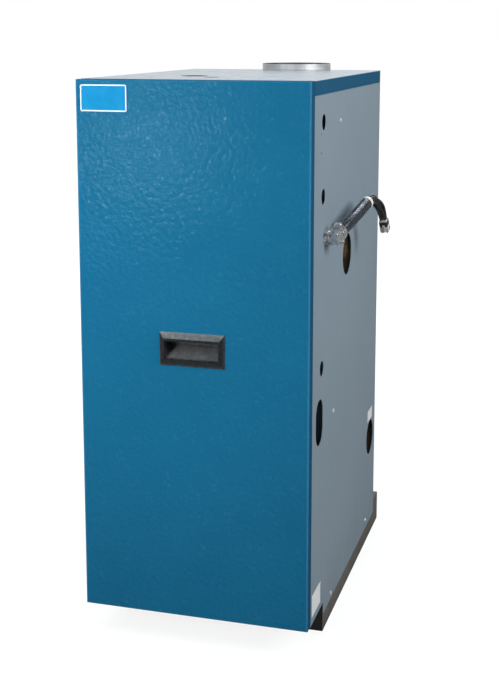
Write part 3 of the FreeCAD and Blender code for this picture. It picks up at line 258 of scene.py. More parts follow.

# Places on the part that finishes and painted light or shade go by, in metres, each as the two ends
# of a soft edge. The flanges' have their axis too, and the painted shade round a hole is measured
# from its edge.
DOOR_FACE_Y = depth_y(0.0)
DOOR_FLANGE = ("Y", DOOR_FACE_Y + 0.002, DOOR_FACE_Y + 0.003)
# painted highlight along the door's bends
DOOR_BEND_HIGHLIGHT_X = (0.2055, 0.208)
PULL_CUP_Y = (DOOR_FACE_Y - 0.004, DOOR_FACE_Y + 0.001)
TOP_FLANGE = ("Z", 1.0213, 1.0205)
RAIL_FRONT_Y = (depth_y(131.4), depth_y(132.2))
RAIL_RUB_Z = (0.0, 0.018)
PANEL_GRIME_Z = (0.02, 0.16)
# inside this radius the collar is black with soot and painted shade
FLUE_SOOT_SHADE_R = (0.0756, 0.0759)
# below these heights the boards turn dark, a painted shade
BOARD_LOW_SHADE_Z = (0.672, 0.712)
BOARD_TOP_SHADE_Z = (1.0025, 1.0035)
# past these x the boards' outer faces turn black, a painted shade
BOARD_SHADE_X = (0.1975, 0.2025)
# widths of the painted shade round the holes, past their radius
HOLE_SHADE_WIDTHS = (0.003, 0.0035)

# The flue's axis, and the top panel's holes: x, y and radius
FLUE_AXIS = (0.0, depth_y(741.0))
TOP_HOLES = (
    (-0.061, depth_y(203.0), 0.0225),
    (-0.009, depth_y(146.0), 0.011),
)


def dimmed(colour, share):
    return tuple(share * part for part in colour)


def hammered_enamel(name, dent, roughs, sheen, flange, bend_highlight=None, holes=()):
    """Blue enamel with a hammered grain. Its flange, past a place on an axis, is dull, and painted
    darker as painted shade. Its sides turn paler over the two distances given for the bends, a
    painted highlight, and the rims of its holes are painted black as painted shade."""
    s = Shader(name)
    base = s.mottle(5, *ENAMEL_BLUES)
    grain = s.noise(360, 4, 0.7)
    base = s.mix(s.level(grain, 0.42, 0.66, (0.0, 0.35)), base, GRAIN_BLUE)
    clusters = s.level(s.noise(26), 0.42, 0.62)
    flakes = s.times(s.level(s.noise(150, 5, 0.75), 0.56, 0.62), clusters)
    base = s.mix(s.times(flakes, 0.30), base, FLAKE_BLUE)
    facets = s.bump(s.noise(115, 2, 0.5), dent, 0.0011)
    fine = s.bump(grain, 0.10 * dent, 0.0005, facets)
    raised = s.bump(flakes, 0.15 * dent, 0.0010, fine)
    axis, start, end = flange
    dull = s.level(s.axis(axis), start, end)
    # Painted shade: the flange's enamel is painted darker, though the paint is the same.
    base = s.mix(s.times(dull, 0.5), base, FLANGE_SHADE_BLUE)
    # Painted shade: black round each hole's rim, which also turns dull.
    for x, y, radius in holes:
        rim = [radius + width for width in HOLE_SHADE_WIDTHS]
        rim_shade = s.level(s.far_from(x, y), *rim, (1.0, 0.0))
        base = s.mix(s.times(rim_shade, 0.95), base, HOLE_RIM_SHADE)
        dull = s.plus(dull, rim_shade)
    rough = s.plus(s.spread(s.noise(60, 2), roughs), s.times(dull, 0.80))
    # Painted highlight: paler enamel along the bends, where they catch the light.
    if bend_highlight:
        across = s.times(s.axis("X"), s.axis("X"))
        bent = s.level(across, bend_highlight[0] ** 2, bend_highlight[1] ** 2)
        edge = s.times(bent, s.level(dull, 1.0, 0.0))
        base = s.mix(s.times(edge, 0.6), base, BEND_HIGHLIGHT_BLUE)
    return s.done(base, rough, Normal=raised, Specular_IOR_Level=sheen,
                  Specular_Tint=ENAMEL_SHEEN)


def panel_enamel():
    """Grey enamel on rolled sheet: nearly smooth, with faint streaks and handling marks."""
    s = Shader("panel_enamel")
    base = s.mottle(4, *PANEL_GREYS, 4)
    streak = s.noise(30, 3, 0.6, s.stretched((3.0, 6.0, 0.35)))
    base = s.mix(s.level(streak, 0.45, 0.75, (0.0, 0.14)), base, STREAK_GREY)
    handled = s.level(s.noise(7, 2), 0.5, 0.65)
    scuff = s.times(s.level(s.noise(140, 4, 0.7), 0.62, 0.72), handled)
    base = s.mix(s.times(scuff, 0.25), base, SCUFF_GREY)
    low = s.level(s.axis("Z"), *PANEL_GRIME_Z, (0.30, 0.0))
    grime = s.times(low, s.level(s.noise(22, 4), 0.35, 0.7))
    base = s.mix(grime, base, GRIME_GREY)
    peel = s.bump(s.noise(520, 2), 0.12, 0.0004)
    waves = s.bump(s.noise(9, 1), 0.10, 0.004, peel)
    return s.done(base, s.spread(streak, (0.44, 0.52)), Normal=waves, Specular_IOR_Level=0.2)


def base_paint():
    """Dull dark paint on the base, dusty, rubbed along the floor, and black on the front ends as
    painted shade.
    """
    s = Shader("base_paint")
    patch = s.level(s.noise(24, 4, 0.65), 0.35, 0.68)
    base = s.mix(patch, *BASE_BROWNS)
    low = s.level(s.axis("Z"), *RAIL_RUB_Z, (0.75, 0.0))
    base = s.mix(s.times(low, s.level(s.noise(90), 0.3, 0.6)), base, RUBBED_BROWN)
    chips = s.level(s.noise(260, 3, 0.7), 0.66, 0.74)
    base = s.mix(s.times(chips, 0.5), base, CHIP_GREY)
    # Painted shade: the rails' front ends turn black.
    front = s.level(s.axis("Y"), *RAIL_FRONT_Y, (0.9, 0.0))
    base = s.mix(front, base, RAIL_END_SHADE)
    grain = s.bump(s.noise(700, 2), 0.3, 0.0004)
    return s.done(base, s.level(patch, 0.0, 1.0, (0.55, 0.72)), Normal=grain)


def galvanised(name, sooty_and_shaded=False):
    """Zinc-coated sheet with spangle, and, in the flue collar, black inside: part sooting, part
    painted shade.
    """
    s = Shader(name)
    spangle = s.cells(95)
    tone = s.plus(s.times(spangle, 0.7), s.times(s.cells(230), 0.3))
    base = s.mix(tone, *ZINC_GREYS)
    bloom = s.level(s.noise(14, 4), 0.5, 0.75, (0.0, 0.35))
    base = s.mix(bloom, base, BLOOM_GREY)
    if sooty_and_shaded:
        # Soot and painted shade: the inside of the collar turns black.
        soot_and_shade = s.level(s.far_from(*FLUE_AXIS), *FLUE_SOOT_SHADE_R, (0.92, 0.0))
        base = s.mix(soot_and_shade, base, SOOT_AND_SHADE_BLACK)
    dents = s.bump(s.noise(18, 1), 0.06, 0.004)
    skin = s.bump(spangle, 0.05, 0.0004, dents)
    return s.done(base, s.level(tone, 0.0, 1.0, (0.42, 0.56)), Normal=skin, Metallic=0.68)


def plain_steel():
    """Bare sheet steel with rolling lines and a little rust."""
    s = Shader("plain_steel")
    lines = s.noise(160, 2, 0.6, s.stretched((1.0, 1.0, 9.0)))
    base = s.mix(lines, *STEEL_GREYS)
    rust = s.level(s.noise(55, 4, 0.7), 0.62, 0.75, (0.0, 0.5))
    base = s.mix(rust, base, STEEL_RUST)
    rough = s.level(lines, 0.2, 0.8, (0.28, 0.5))
    return s.done(base, rough, Normal=s.bump(lines, 0.08, 0.0004), Metallic=0.9)


def cast_iron():
    """Rough sand-cast iron with rust."""
    s = Shader("cast_iron")
    sand = s.noise(480, 4, 0.7)
    base = s.mottle(16, *IRON_GREYS, 4)
    rust = s.times(s.level(s.noise(40, 5, 0.7), 0.52, 0.72), 0.6)
    base = s.mix(rust, base, IRON_RUST)
    skin = s.bump(sand, 0.6, 0.0012)
    return s.done(base, s.spread(sand, (0.55, 0.8)), Normal=skin, Metallic=0.35)


def fibre_board():
    """Brown resin-bonded mineral fibre, darker low down and black on its top and outer faces, all
    painted shade.
    """
    s = Shader("fibre_board")
    strands = s.noise(190, 5, 0.75, s.stretched((1.0, 0.35, 1.8)))
    lumps = s.noise(28, 4)
    base = s.mix(s.spread(strands), *FIBRE_BROWNS)
    base = s.mix(s.level(lumps, 0.5, 0.75, (0.0, 0.6)), base, LUMP_BROWN)
    # Painted shade: the boards turn dark brown low down.
    uneven = s.plus(s.axis("Z"), s.times(lumps, 0.02))
    base = s.mix(s.level(uneven, *BOARD_LOW_SHADE_Z, (0.93, 0.0)), base, LOW_SHADE_BROWN)
    # Painted shade: the boards' tops turn black.
    top = s.level(s.axis("Z"), *BOARD_TOP_SHADE_Z, (0.0, 0.92))
    base = s.mix(top, base, TOP_SHADE_BLACK)
    # Painted shade: the boards' outer faces, behind the panel's holes, turn black.
    side_shade = s.level(s.axis("X"), *BOARD_SHADE_X, (0.0, 0.96))
    base = s.mix(side_shade, base, SIDE_SHADE_BLACK)
    height = s.plus(strands, s.times(lumps, 0.6))
    return s.done(base, 0.93, Normal=s.bump(height, 0.9, 0.003), Specular_IOR_Level=0.1)


def spark_grain(s):
    """The fine spark-eroded texture of a moulding: its noise and its normal."""
    speck = s.noise(900, 2, 0.6)
    return speck, s.bump(speck, 0.22, 0.0003)


def moulded(name, dark, light, rough):
    """Moulded plastic, or paint that looks like it."""
    s = Shader(name)
    speck, skin = spark_grain(s)
    roughness = s.level(speck, 0.25, 0.75, (rough - 0.06, rough + 0.08))
    return s.done(s.mottle(35, dark, light), roughness, Normal=skin)


def handle_plastic():
    """Black moulded frame, worn and scratched, with a greyer cup behind it."""
    s = Shader("handle_plastic")
    speck, skin = spark_grain(s)
    frame_tone = s.mottle(35, *PULL_BLACKS)
    cup_tone = s.mottle(120, *CUP_GREYS)
    base = s.mix(s.level(s.axis("Y"), *PULL_CUP_Y), frame_tone, cup_tone)
    hair = s.noise(240, 4, 0.7, s.stretched((0.3, 1.0, 2.5)))
    base = s.mix(s.level(hair, 0.62, 0.70, (0.0, 0.35)), base, SCRATCH_GREY)
    wear = s.plus(s.times(speck, 0.4), s.times(s.noise(95), 0.6))
    return s.done(base, s.level(wear, 0.35, 0.65, (0.20, 0.37)), Normal=skin,
                  Specular_IOR_Level=0.6, Specular_Tint=PULL_SHEEN)


def turned_metal(name, dark, light, rough, metallic=1.0):
    """Machined metal with tool lines and tarnish."""
    s = Shader(name)
    lines = s.noise(220, 3, 0.6, s.stretched((1.0, 4.0, 1.0)))
    tarnish = s.level(s.noise(70, 4), 0.5, 0.75, (0.0, 0.5))
    base = s.mix(tarnish, s.mix(s.spread(lines), dark, light), dimmed(dark, 0.7))
    roughness = s.level(lines, 0.25, 0.75, (rough - 0.08, rough + 0.1))
    return s.done(base, roughness, Normal=s.bump(lines, 0.08, 0.0003), Metallic=metallic)


def die_cast(name, stained, pits, roughs):
    """Bright zinc casting with a pitted skin, and stains to a given share."""
    s = Shader(name)
    skin = s.noise(520, 3, 0.6)
    base = s.mottle(120, *CASTING_GREYS)
    stain = s.level(s.noise(75, 2, 0.5), 0.50, 0.60, (0.0, stained))
    base = s.mix(stain, base, CASTING_STAIN)
    pitted = s.bump(skin, pits, 0.0005)
    return s.done(base, s.spread(skin, roughs), Normal=pitted, Metallic=0.8)


def armour_strip():
    """Bare strip steel of the conduit, dull and stained."""
    s = Shader("armour_strip")
    stain = s.level(s.noise(110, 4, 0.7), 0.42, 0.66)
    base = s.mottle(420, *ARMOUR_GREYS)
    base = s.mix(s.times(stain, 0.85), base, ARMOUR_STAIN)
    scratch = s.bump(s.noise(800), 0.2, 0.0004)
    rough = s.level(stain, 0.0, 1.0, (0.20, 0.36))
    return s.done(base, rough, Normal=scratch, Metallic=0.95)


def insulated_wire(name, dark, light):
    """Smooth plastic sleeve of a wire."""
    s = Shader(name)
    base = s.mottle(80, dark, light)
    skin = s.bump(s.noise(260, 2), 0.15, 0.0004)
    return s.done(base, s.spread(s.noise(600), (0.30, 0.45)), Normal=skin)


def printed_plate(name, dark, light):
    """Printed plate: an even satin colour with small scratches."""
    s = Shader(name)
    lines = s.noise(300, 4, 0.7, s.stretched((0.4, 1.0, 3.0)))
    hair = s.level(lines, 0.64, 0.72, (0.0, 0.25))
    base = s.mix(hair, s.mottle(45, dark, light), SCRATCH_BLUE)
    skin = s.bump(s.noise(200, 2), 0.05, 0.0003)
    rough = s.level(hair, 0.0, 0.25, (0.40, 0.5))
    return s.done(base, rough, Normal=skin, Specular_IOR_Level=0.06)


def paper_label(name, dark, light):
    """Paper or card with a little grime."""
    s = Shader(name)
    fibre = s.noise(420, 4, 0.7)
    stain = s.level(s.noise(45, 4), 0.58, 0.75, (0.0, 0.35))
    base = s.mix(stain, s.mix(s.spread(fibre), dark, light), dimmed(dark, 0.75))
    return s.done(base, 0.55, Normal=s.bump(fibre, 0.15, 0.0003))


def clear_lens():
    """Clear plastic with a trace of dust."""
    s = Shader("clear_lens")
    dust = s.level(s.noise(240, 4), 0.6, 0.8, (0.04, 0.16))
    return s.done(LENS_WHITE, dust, Transmission_Weight=1.0, IOR=1.49)


def control_enamel():
    """Light grey enamel with a fine peel."""
    s = Shader("control_enamel")
    base = s.mottle(20, *CONTROL_GREYS)
    peel = s.noise(380, 2)
    return s.done(base, s.spread(peel, (0.38, 0.5)), Normal=s.bump(peel, 0.25, 0.0005))


SLOT_MATERIALS = {
    "door_blue": hammered_enamel("door_enamel", 1.0, (0.07, 0.11), 0.10, DOOR_FLANGE, DOOR_BEND_HIGHLIGHT_X),
    "panel_grey": panel_enamel(),
    "base_dark": base_paint(),
    "galvanised": galvanised("galvanised"),
    "bare_steel": plain_steel(),
    "cast_iron": cast_iron(),
    "insulation": fibre_board(),
    "handle_black": moulded("handle_plastic", (0.020, 0.020, 0.021), (0.030, 0.030, 0.031), 0.36),
    "badge_blue": printed_plate("badge_plate_blue", (0.003, 0.200, 0.430), (0.006, 0.230, 0.475)),
    "die_cast": die_cast("die_cast", 0.62, 0.10, (0.20, 0.32)),
    "armour": armour_strip(),
    "bushing_white": moulded("bushing_nylon", (0.78, 0.78, 0.76), (0.88, 0.88, 0.86), 0.4),
    "wire_black": insulated_wire("wire_sleeve_black", (0.012, 0.013, 0.013), (0.030, 0.032, 0.031)),
    "plug_plastic": moulded("plug_nylon", (0.62, 0.62, 0.59), (0.75, 0.75, 0.72), 0.4),
    "button_red": moulded("button_plastic", (0.42, 0.015, 0.012), (0.52, 0.022, 0.018), 0.3),
    "magnet_black": moulded("magnet_case", (0.022, 0.022, 0.023), (0.036, 0.036, 0.037), 0.5),
    "brass": turned_metal("orifice_brass", (0.50, 0.36, 0.13), (0.72, 0.53, 0.22), 0.3),
    "control_grey": control_enamel(),
    "gauge_case": moulded("gauge_enamel", (0.018, 0.018, 0.018), (0.030, 0.030, 0.030), 0.3),
    "needle_red": moulded("needle_paint", (0.50, 0.020, 0.014), (0.62, 0.030, 0.020), 0.4),
    "lens_clear": clear_lens(),
}

# Finishes of single nodes that differ from the rest of their slot
CLEAN_CASTING = die_cast("clean_casting", 0.14, 0.02, (0.44, 0.58))
SCREW_ZINC = turned_metal("screw_zinc", (0.70, 0.71, 0.72), (0.90, 0.90, 0.90), 0.30, 0.35)
NODE_MATERIALS = {
    "top_panel": hammered_enamel("top_enamel", 0.10, (0.14, 0.20), 0.32, TOP_FLANGE,
                                 holes=TOP_HOLES),
    "flue_collar": galvanised("flue_galvanised", sooty_and_shaded=True),
    "door_handle": handle_plastic(),
    "gas_valve": CLEAN_CASTING,
    "pilot_tube": CLEAN_CASTING,
    "jacket_screws": SCREW_ZINC,
}


def dress_nodes():
    for part in frame["record"]["subparts"]:
        material = NODE_MATERIALS.get(part["node"], SLOT_MATERIALS[part["material_slot"]])
        for place in frame["nodes"][part["node"]].material_slots:
            place.material = material


# Mesh helpers. Sizes and steps are in mm, and creases in degrees.

CREASE = 35.0
CASTING_CREASE = 30.0
ARMOUR_CREASE = 40.0
LABEL_CREASE = 50.0
ROUND_CREASE = 60.0
BEVEL_STEPS = 3
BEVEL_ROUND = 0.6
UPRIGHT_SINE = 0.1


def new_object(name, data):
    obj = bpy.data.objects.new(name, data)
    bpy.context.scene.collection.objects.link(obj)
    return obj


def make_piece(name, bm, slot, body="boiler", material=None, crease=CREASE):
    """Turns a mesh in the making into a piece on a body, smooth but for edges past the crease's
    angle, in its slot's material or one of its own."""
    bmesh.ops.recalc_face_normals(bm, faces=bm.faces)
    mesh = bpy.data.meshes.new(name)
    bm.to_mesh(mesh)
    bm.free()
    mesh.validate()
    for polygon in mesh.polygons:
        polygon.use_smooth = True
    mesh.set_sharp_from_angle(angle=math.radians(crease))
    mesh.materials.append(material or SLOT_MATERIALS[slot])
    piece = new_object(name, mesh)
    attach(piece, body)
    return piece


def node_box(node):
    return [Vector(corner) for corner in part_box(node)]


def sides(heading):
    """Two directions square to a heading, the second one the higher."""
    first = heading.cross(UP)
    if first.length < UPRIGHT_SINE:
        first = heading.cross(RIGHT)
    first.normalize()
    return first, first.cross(heading).normalized()


def offset(origin, axes, steps):
    """The place at some steps along three directions from an origin."""
    return origin + sum((axis * step for axis, step in zip(axes, steps)), Vector()) * MM


def around(first, second, angle):
    return first * math.cos(angle) + second * math.sin(angle)


def circle(centre, first, second, radius, segments):
    angles = [math.tau * i / segments for i in range(segments)]
    return [centre + around(first, second, a) * radius * MM for a in angles]


def bridge(bm, low, high):
    """Faces between two rings of vertices."""
    for i in range(len(low)):
        j = (i + 1) % len(low)
        bm.faces.new((low[i], low[j], high[j], high[i]))


def add_tube(bm, rings, ends):
    """A skin over rings, whose ends are open, closed by caps, or joined in a loop."""
    rows = [[bm.verts.new(place) for place in ring] for ring in rings]
    for low, high in zip(rows, rows[1:]):
        bridge(bm, low, high)
    if ends == "loop":
        bridge(bm, rows[-1], rows[0])
    elif ends == "caps":
        bm.faces.new(rows[0])
        bm.faces.new(rows[-1])
    return rows


def add_lathe(bm, origin, heading, turned, ends="loop"):
    """A shape turned about a heading, from its number of sides and its profile, which is a row of
    (along, radius) points."""
    segments, profile = turned
    rings = [circle(origin + heading * along * MM, *sides(heading), radius, segments)
             for along, radius in profile]
    add_tube(bm, rings, ends)


def add_block(bm, centre, axes, sizes, bevel):
    """A block with rounded edges, from three directions and its sizes along them."""
    made = bmesh.ops.create_cube(bm, size=1.0)
    spans = [axis.normalized() * size * MM for axis, size in zip(axes, sizes)]
    basis = Matrix(spans).transposed().to_4x4()
    bmesh.ops.transform(bm, matrix=Matrix.Translation(centre) @ basis, verts=made["verts"])
    edges = {edge for vert in made["verts"] for edge in vert.link_edges}
    bmesh.ops.bevel(bm, geom=list(edges), offset=bevel * MM, segments=BEVEL_STEPS,
                    profile=BEVEL_ROUND, affect="EDGES")


def add_blocks(bm, origin, axes, rows):
    """Blocks from rows of steps from an origin, sizes and bevel."""
    for steps, sizes, bevel in rows:
        add_block(bm, offset(origin, axes, steps), axes, sizes, bevel)


# The lead: connector, clamp, conduit, bushing, wires and plug. Sizes are in mm. A turned shape is
# its number of sides and its profile.

# Control points of its routes: x, depth and height
CONDUIT_ROUTE = (
    (231.777, 138.147, 755.222),
    (240.443, 171.366, 766.054),
    (245.0, 228.0, 775.5),
    (249.0, 290.0, 786.0),
)
WIRES_ROUTE = (
    (249.0, 290.0, 786.0),
    (250.270, 309.679, 789.333),
    (254.0, 331.0, 786.5),
    (259.0, 350.0, 777.0),
    (264.0, 364.0, 762.0),
    (266.5, 371.0, 744.0),
)
ROUTE_ORDER = 3
ROUTE_STEPS = 48

# The conduit's armour. A rib's rise and the end of its crest are shares of its pitch.
CONDUIT_R = 11.0
CONDUIT_ROOT_R = 9.0
CONDUIT_BORE_R = 8.0
CONDUIT_PITCH = 5.2
CONDUIT_FADE = 4.0
CONDUIT_SEGMENTS = 36
RINGS_PER_PITCH = 9
RIB_RISE = 0.16
RIB_CREST = 0.66

BUSHING_LIP = (40, (
    (-6.5, 11.05), (-6.3, 11.6), (-5.6, 11.8), (0.0, 11.8), (2.8, 11.6), (3.7, 10.8),
    (4.0, 9.6), (3.7, 8.6), (3.0, 8.0), (1.6, 7.8), (0.0, 7.8), (-0.2, 11.05),
))

# The wires. Each is turned out of an even bundle by a random jitter and twist, then strays
# sideways and bulges in waves, with angles in radians.
WIRE_COUNT = 6
WIRE_R = 2.5
WIRE_SPREAD = 5.4
WIRE_STEP = 2.0
WIRE_SEGMENTS = 12
WIRE_SEED = 7
WIRE_JITTER = 0.2
WIRE_TWIST = (0.6, 1.4)
WIRE_STRAY, STRAY_WAVE = 0.5, 5.0
WIRE_BULGE, BULGE_WAVE = 0.55, 4.0
WIRE_SHADES = (
    ((0.026, 0.030, 0.032), (0.054, 0.060, 0.064)),
    ((0.016, 0.017, 0.022), (0.034, 0.036, 0.044)),
)

# The plug's blocks: steps across its width, across its height and along it, sizes, and bevel
PLUG_BODY = (
    ((0.0, 0.0, 1.8), (15.0, 17.5, 3.4), 1.0),
    ((0.0, 0.0, 19.5), (16.6, 19.6, 11.0), 1.2),
    *(((x, y, 19.5), (1.2, 1.6, 8.0), 0.4) for y in (-6.0, 0.0, 6.0) for x in (8.1, -8.1)),
    ((0.0, 9.6, 16.0), (5.0, 1.6, 13.0), 0.5),
    ((0.0, 10.2, 21.5), (5.0, 1.6, 2.2), 0.5),
)
PLUG_BOOT = (
    ((0.0, 0.0, 8.8), (15.2, 18.0, 11.4), 2.0),
    *(((0.0, 0.0, along), (16.4, 19.2, 1.3), 0.5) for along in (5.0, 8.0, 11.0)),
    *(((x, y, 20.0), (0.9, 2.6, 6.0), 0.3) for y in (-3.0, 3.0) for x in (8.2, -8.2)),
)
PLUG_PINS = [(x, y, 24.0) for x in (-4.4, 4.4) for y in (-6.0, 0.0, 6.0)]
PLUG_PIN = (14, ((0.0, 1.5), (2.6, 1.5), (3.5, 1.1), (3.9, 0.6)))

# The connector: a notched flange and a six-sided neck on the panel, then, from its elbow and along
# the outlet, up and out of its cover, the box and the cover, and the ribbed outlet
PANEL_X = 208.0
ELBOW = (226.0, 116.0, 748.0)
FLANGE_R = 15.4
FLANGE_THICK = 4.2
FLANGE_TAPER = 0.97
FLANGE_GAP = 0.1
NOTCH_R = 13.4
NOTCHES = 10
NOTCH_STEPS = 4
NECK_X = 4.0
NECK = (6, ((0.0, 12.6), (4.5, 12.6), (5.5, 11.6), (12.0, 11.6)))
CONNECTOR_BOX = (
    ((1.0, 0.0, 0.0), (25.0, 24.0, 23.0), 4.0),
    ((1.0, 0.0, 11.4), (20.0, 18.0, 2.2), 0.8),
)
COVER_SCREWS = ((-5.5, -5.5, 12.4), (7.5, 5.5, 12.4))
COVER_SCREW = (18, ((0.0, 2.7), (1.0, 2.7), (1.6, 2.1), (1.8, 1.2)))
OUTLET = (36, ((8.0, 11.5), (10.0, 12.6), (24.0, 12.6), (24.0, 10.6), (8.0, 10.6)))
OUTLET_RIBS = (12.0, 22.6)
OUTLET_RIB = (36, ((-1.2, 12.4), (-0.8, 13.0), (0.8, 13.0), (1.2, 12.4)))

# The clamp round the outlet, from its middle: band, two lugs, and a screw in each
CLAMP_BACK = 9.0
CLAMP_BAND = (44, (
    (-5.5, 13.1), (-5.5, 14.0), (-4.7, 14.6), (4.7, 14.6), (5.5, 14.0), (5.5, 13.1),
))
CLAMP_LUGS = [((0.0, up, 0.0), (9.0, 6.5, 11.0), 1.2) for up in (-15.8, 15.8)]
CLAMP_SCREWS = ((0.0, -16.2, 5.5), (0.0, 16.2, 5.5))
CLAMP_SCREW_HEAD = (24, ((0.0, 3.5), (1.6, 3.5), (2.5, 2.8), (2.9, 1.8)))
CLAMP_SCREW_TAIL = (18, ((-17.0, 1.3), (-16.0, 1.9), (-11.2, 1.9)))


def route_points(route):
    """Points along the smooth spline that has a route as its control points."""
    curve = bpy.data.curves.new("route", "CURVE")
    curve.dimensions = "3D"
    curve.resolution_u = ROUTE_STEPS
    spline = curve.splines.new("NURBS")
    spline.points.add(len(route) - 1)
    for place, control in zip(spline.points, route):
        place.co = (*at(*control), 1.0)
    spline.order_u = ROUTE_ORDER
    spline.use_endpoint_u = True
    obj = new_object("route", curve)
    bpy.context.view_layer.update()
    mesh = bpy.data.meshes.new_from_object(obj)
    points = [vert.co.copy() for vert in mesh.vertices]
    bpy.data.objects.remove(obj)
    bpy.data.curves.remove(curve)
    bpy.data.meshes.remove(mesh)
    return points


def even_frames(points, step):
    """Places at even steps along points: the distance, the centre, and two directions square to
    the line. All but the directions are in metres."""
    lengths = [0.0]
    for a, b in zip(points, points[1:]):
        lengths.append(lengths[-1] + (b - a).length)
    total = lengths[-1]
    count = max(2, round(total / step))
    frames = []
    normal = None
    index = 0
    for k in range(count + 1):
        distance = total * k / count
        while index < len(points) - 2 and lengths[index + 1] < distance:
            index += 1
        run = points[index + 1] - points[index]
        share = (distance - lengths[index]) / run.length
        heading = run.normalized()
        if normal is None:
            normal = sides(heading)[0]
        normal = (normal - heading * normal.dot(heading)).normalized()
        centre = points[index] + run * share
        frames.append((distance, centre, normal.copy(), heading.cross(normal)))
    return frames


def rib_height(turns):
    """Height of the interlocked rib, 0 to 1, at a place along its pitch."""
    share = turns % 1.0
    if share < RIB_RISE:
        return share / RIB_RISE
    if share < RIB_CREST:
        return 1.0
    return max(0.0, 1.0 - (share - RIB_CREST) / RIB_RISE)


def build_conduit():
    """The conduit's spiral ribs, flat at its ends, round a plain bore."""
    points = route_points(CONDUIT_ROUTE)
    frames = even_frames(points, CONDUIT_PITCH * MM / RINGS_PER_PITCH)
    total = frames[-1][0] / MM
    rings = []
    for distance, centre, first, second in frames:
        along = distance / MM
        ends = min(1.0, along / CONDUIT_FADE, (total - along) / CONDUIT_FADE)
        ring = []
        for i in range(CONDUIT_SEGMENTS):
            turn = i / CONDUIT_SEGMENTS
            lift = rib_height(along / CONDUIT_PITCH - turn) * ends
            radius = CONDUIT_ROOT_R + (CONDUIT_R - CONDUIT_ROOT_R) * lift
            ring.append(centre + around(first, second, math.tau * turn) * radius * MM)
        rings.append(ring)
    bore = [circle(*place, CONDUIT_BORE_R, CONDUIT_SEGMENTS)
            for _, *place in frames[::RINGS_PER_PITCH] + frames[-1:]]
    bm = bmesh.new()
    outer = add_tube(bm, rings, "open")
    inner = add_tube(bm, bore, "open")
    for end in (0, -1):
        bridge(bm, outer[end], inner[end])
    piece = make_piece("armoured_conduit", bm, "armour", crease=ARMOUR_CREASE)
    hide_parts("harness_conduit")
    return piece, points


def build_bushing(end, heading):
    """A nylon bushing in the conduit's end, with a rolled lip."""
    bm = bmesh.new()
    add_lathe(bm, end, heading, BUSHING_LIP)
    piece = make_piece("end_bushing", bm, "bushing_white", crease=ROUND_CREASE)
    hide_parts("conduit_bushing")
    return piece


def build_wires():
    """Loose wires that leave the bushing together and run into the plug."""
    points = route_points(WIRES_ROUTE)
    frames = even_frames(points, WIRE_STEP * MM)
    total = frames[-1][0]
    rng = random.Random(WIRE_SEED)
    bm = bmesh.new()
    for wire in range(WIRE_COUNT):
        turn = math.tau * wire / WIRE_COUNT + rng.uniform(-WIRE_JITTER, WIRE_JITTER)
        twist = rng.uniform(*WIRE_TWIST)
        sway = rng.uniform(0.0, math.tau)
        rings = []
        for distance, centre, first, second in frames:
            share = distance / total
            loose = math.sin(math.pi * share)
            stray = WIRE_STRAY * loose * math.sin(STRAY_WAVE * share + sway)
            bulge = WIRE_BULGE * loose * (0.5 + 0.5 * math.sin(BULGE_WAVE * share + sway))
            reach = WIRE_SPREAD * (1.0 + bulge) * MM
            axis = centre + around(first, second, turn + twist * share + stray) * reach
            rings.append(circle(axis, first, second, WIRE_R, WIRE_SEGMENTS))
        add_tube(bm, rings, "caps")
    piece = make_piece("lead_wires", bm, "wire_black", crease=ROUND_CREASE)
    for dark, light in WIRE_SHADES:
        piece.data.materials.append(insulated_wire("wire_sleeve_shade", dark, light))
    faces = len(piece.data.polygons) // WIRE_COUNT
    for index, polygon in enumerate(piece.data.polygons):
        polygon.material_index = (index // faces) % (1 + len(WIRE_SHADES))
    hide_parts("harness_wires")
    return piece, points


def build_plug(end, heading):
    """A nylon plug: a body with ribs and a latch, a dark ribbed boot, and metal pins."""
    across = heading.cross(RIGHT).normalized()
    axes = (heading.cross(across), across, heading)
    bm = bmesh.new()
    add_blocks(bm, end, axes, PLUG_BODY)
    body = make_piece("plug_body", bm, "plug_plastic")
    bm = bmesh.new()
    add_blocks(bm, end, axes, PLUG_BOOT)
    boot = make_piece("plug_collar", bm, "magnet_black")
    bm = bmesh.new()
    for steps in PLUG_PINS:
        add_lathe(bm, offset(end, axes, steps), heading, PLUG_PIN, "caps")
    pins = make_piece("plug_pins", bm, "die_cast")
    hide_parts("harness_plug")
    return [body, boot, pins]


def outlet_axes(heading):
    """The connector's directions: along its outlet, up, and out of its cover."""
    lift = sides(heading)[1]
    face = lift.cross(heading)
    return heading, lift, (face if face.x > 0 else -face)


def add_notched_flange(bm, origin, heading):
    """The connector's flange, with square notches in its rim."""
    first, second = sides(heading)
    count = NOTCHES * NOTCH_STEPS
    rim = []
    for i in range(count):
        radius = NOTCH_R if i % NOTCH_STEPS == NOTCH_STEPS - 1 else FLANGE_R
        rim.append(around(first, second, math.tau * (i - 0.5) / count) * radius * MM)
    top = origin + heading * FLANGE_THICK * MM
    low = [origin + place for place in rim]
    high = [top + place * FLANGE_TAPER for place in rim]
    add_tube(bm, [low, high], "caps")


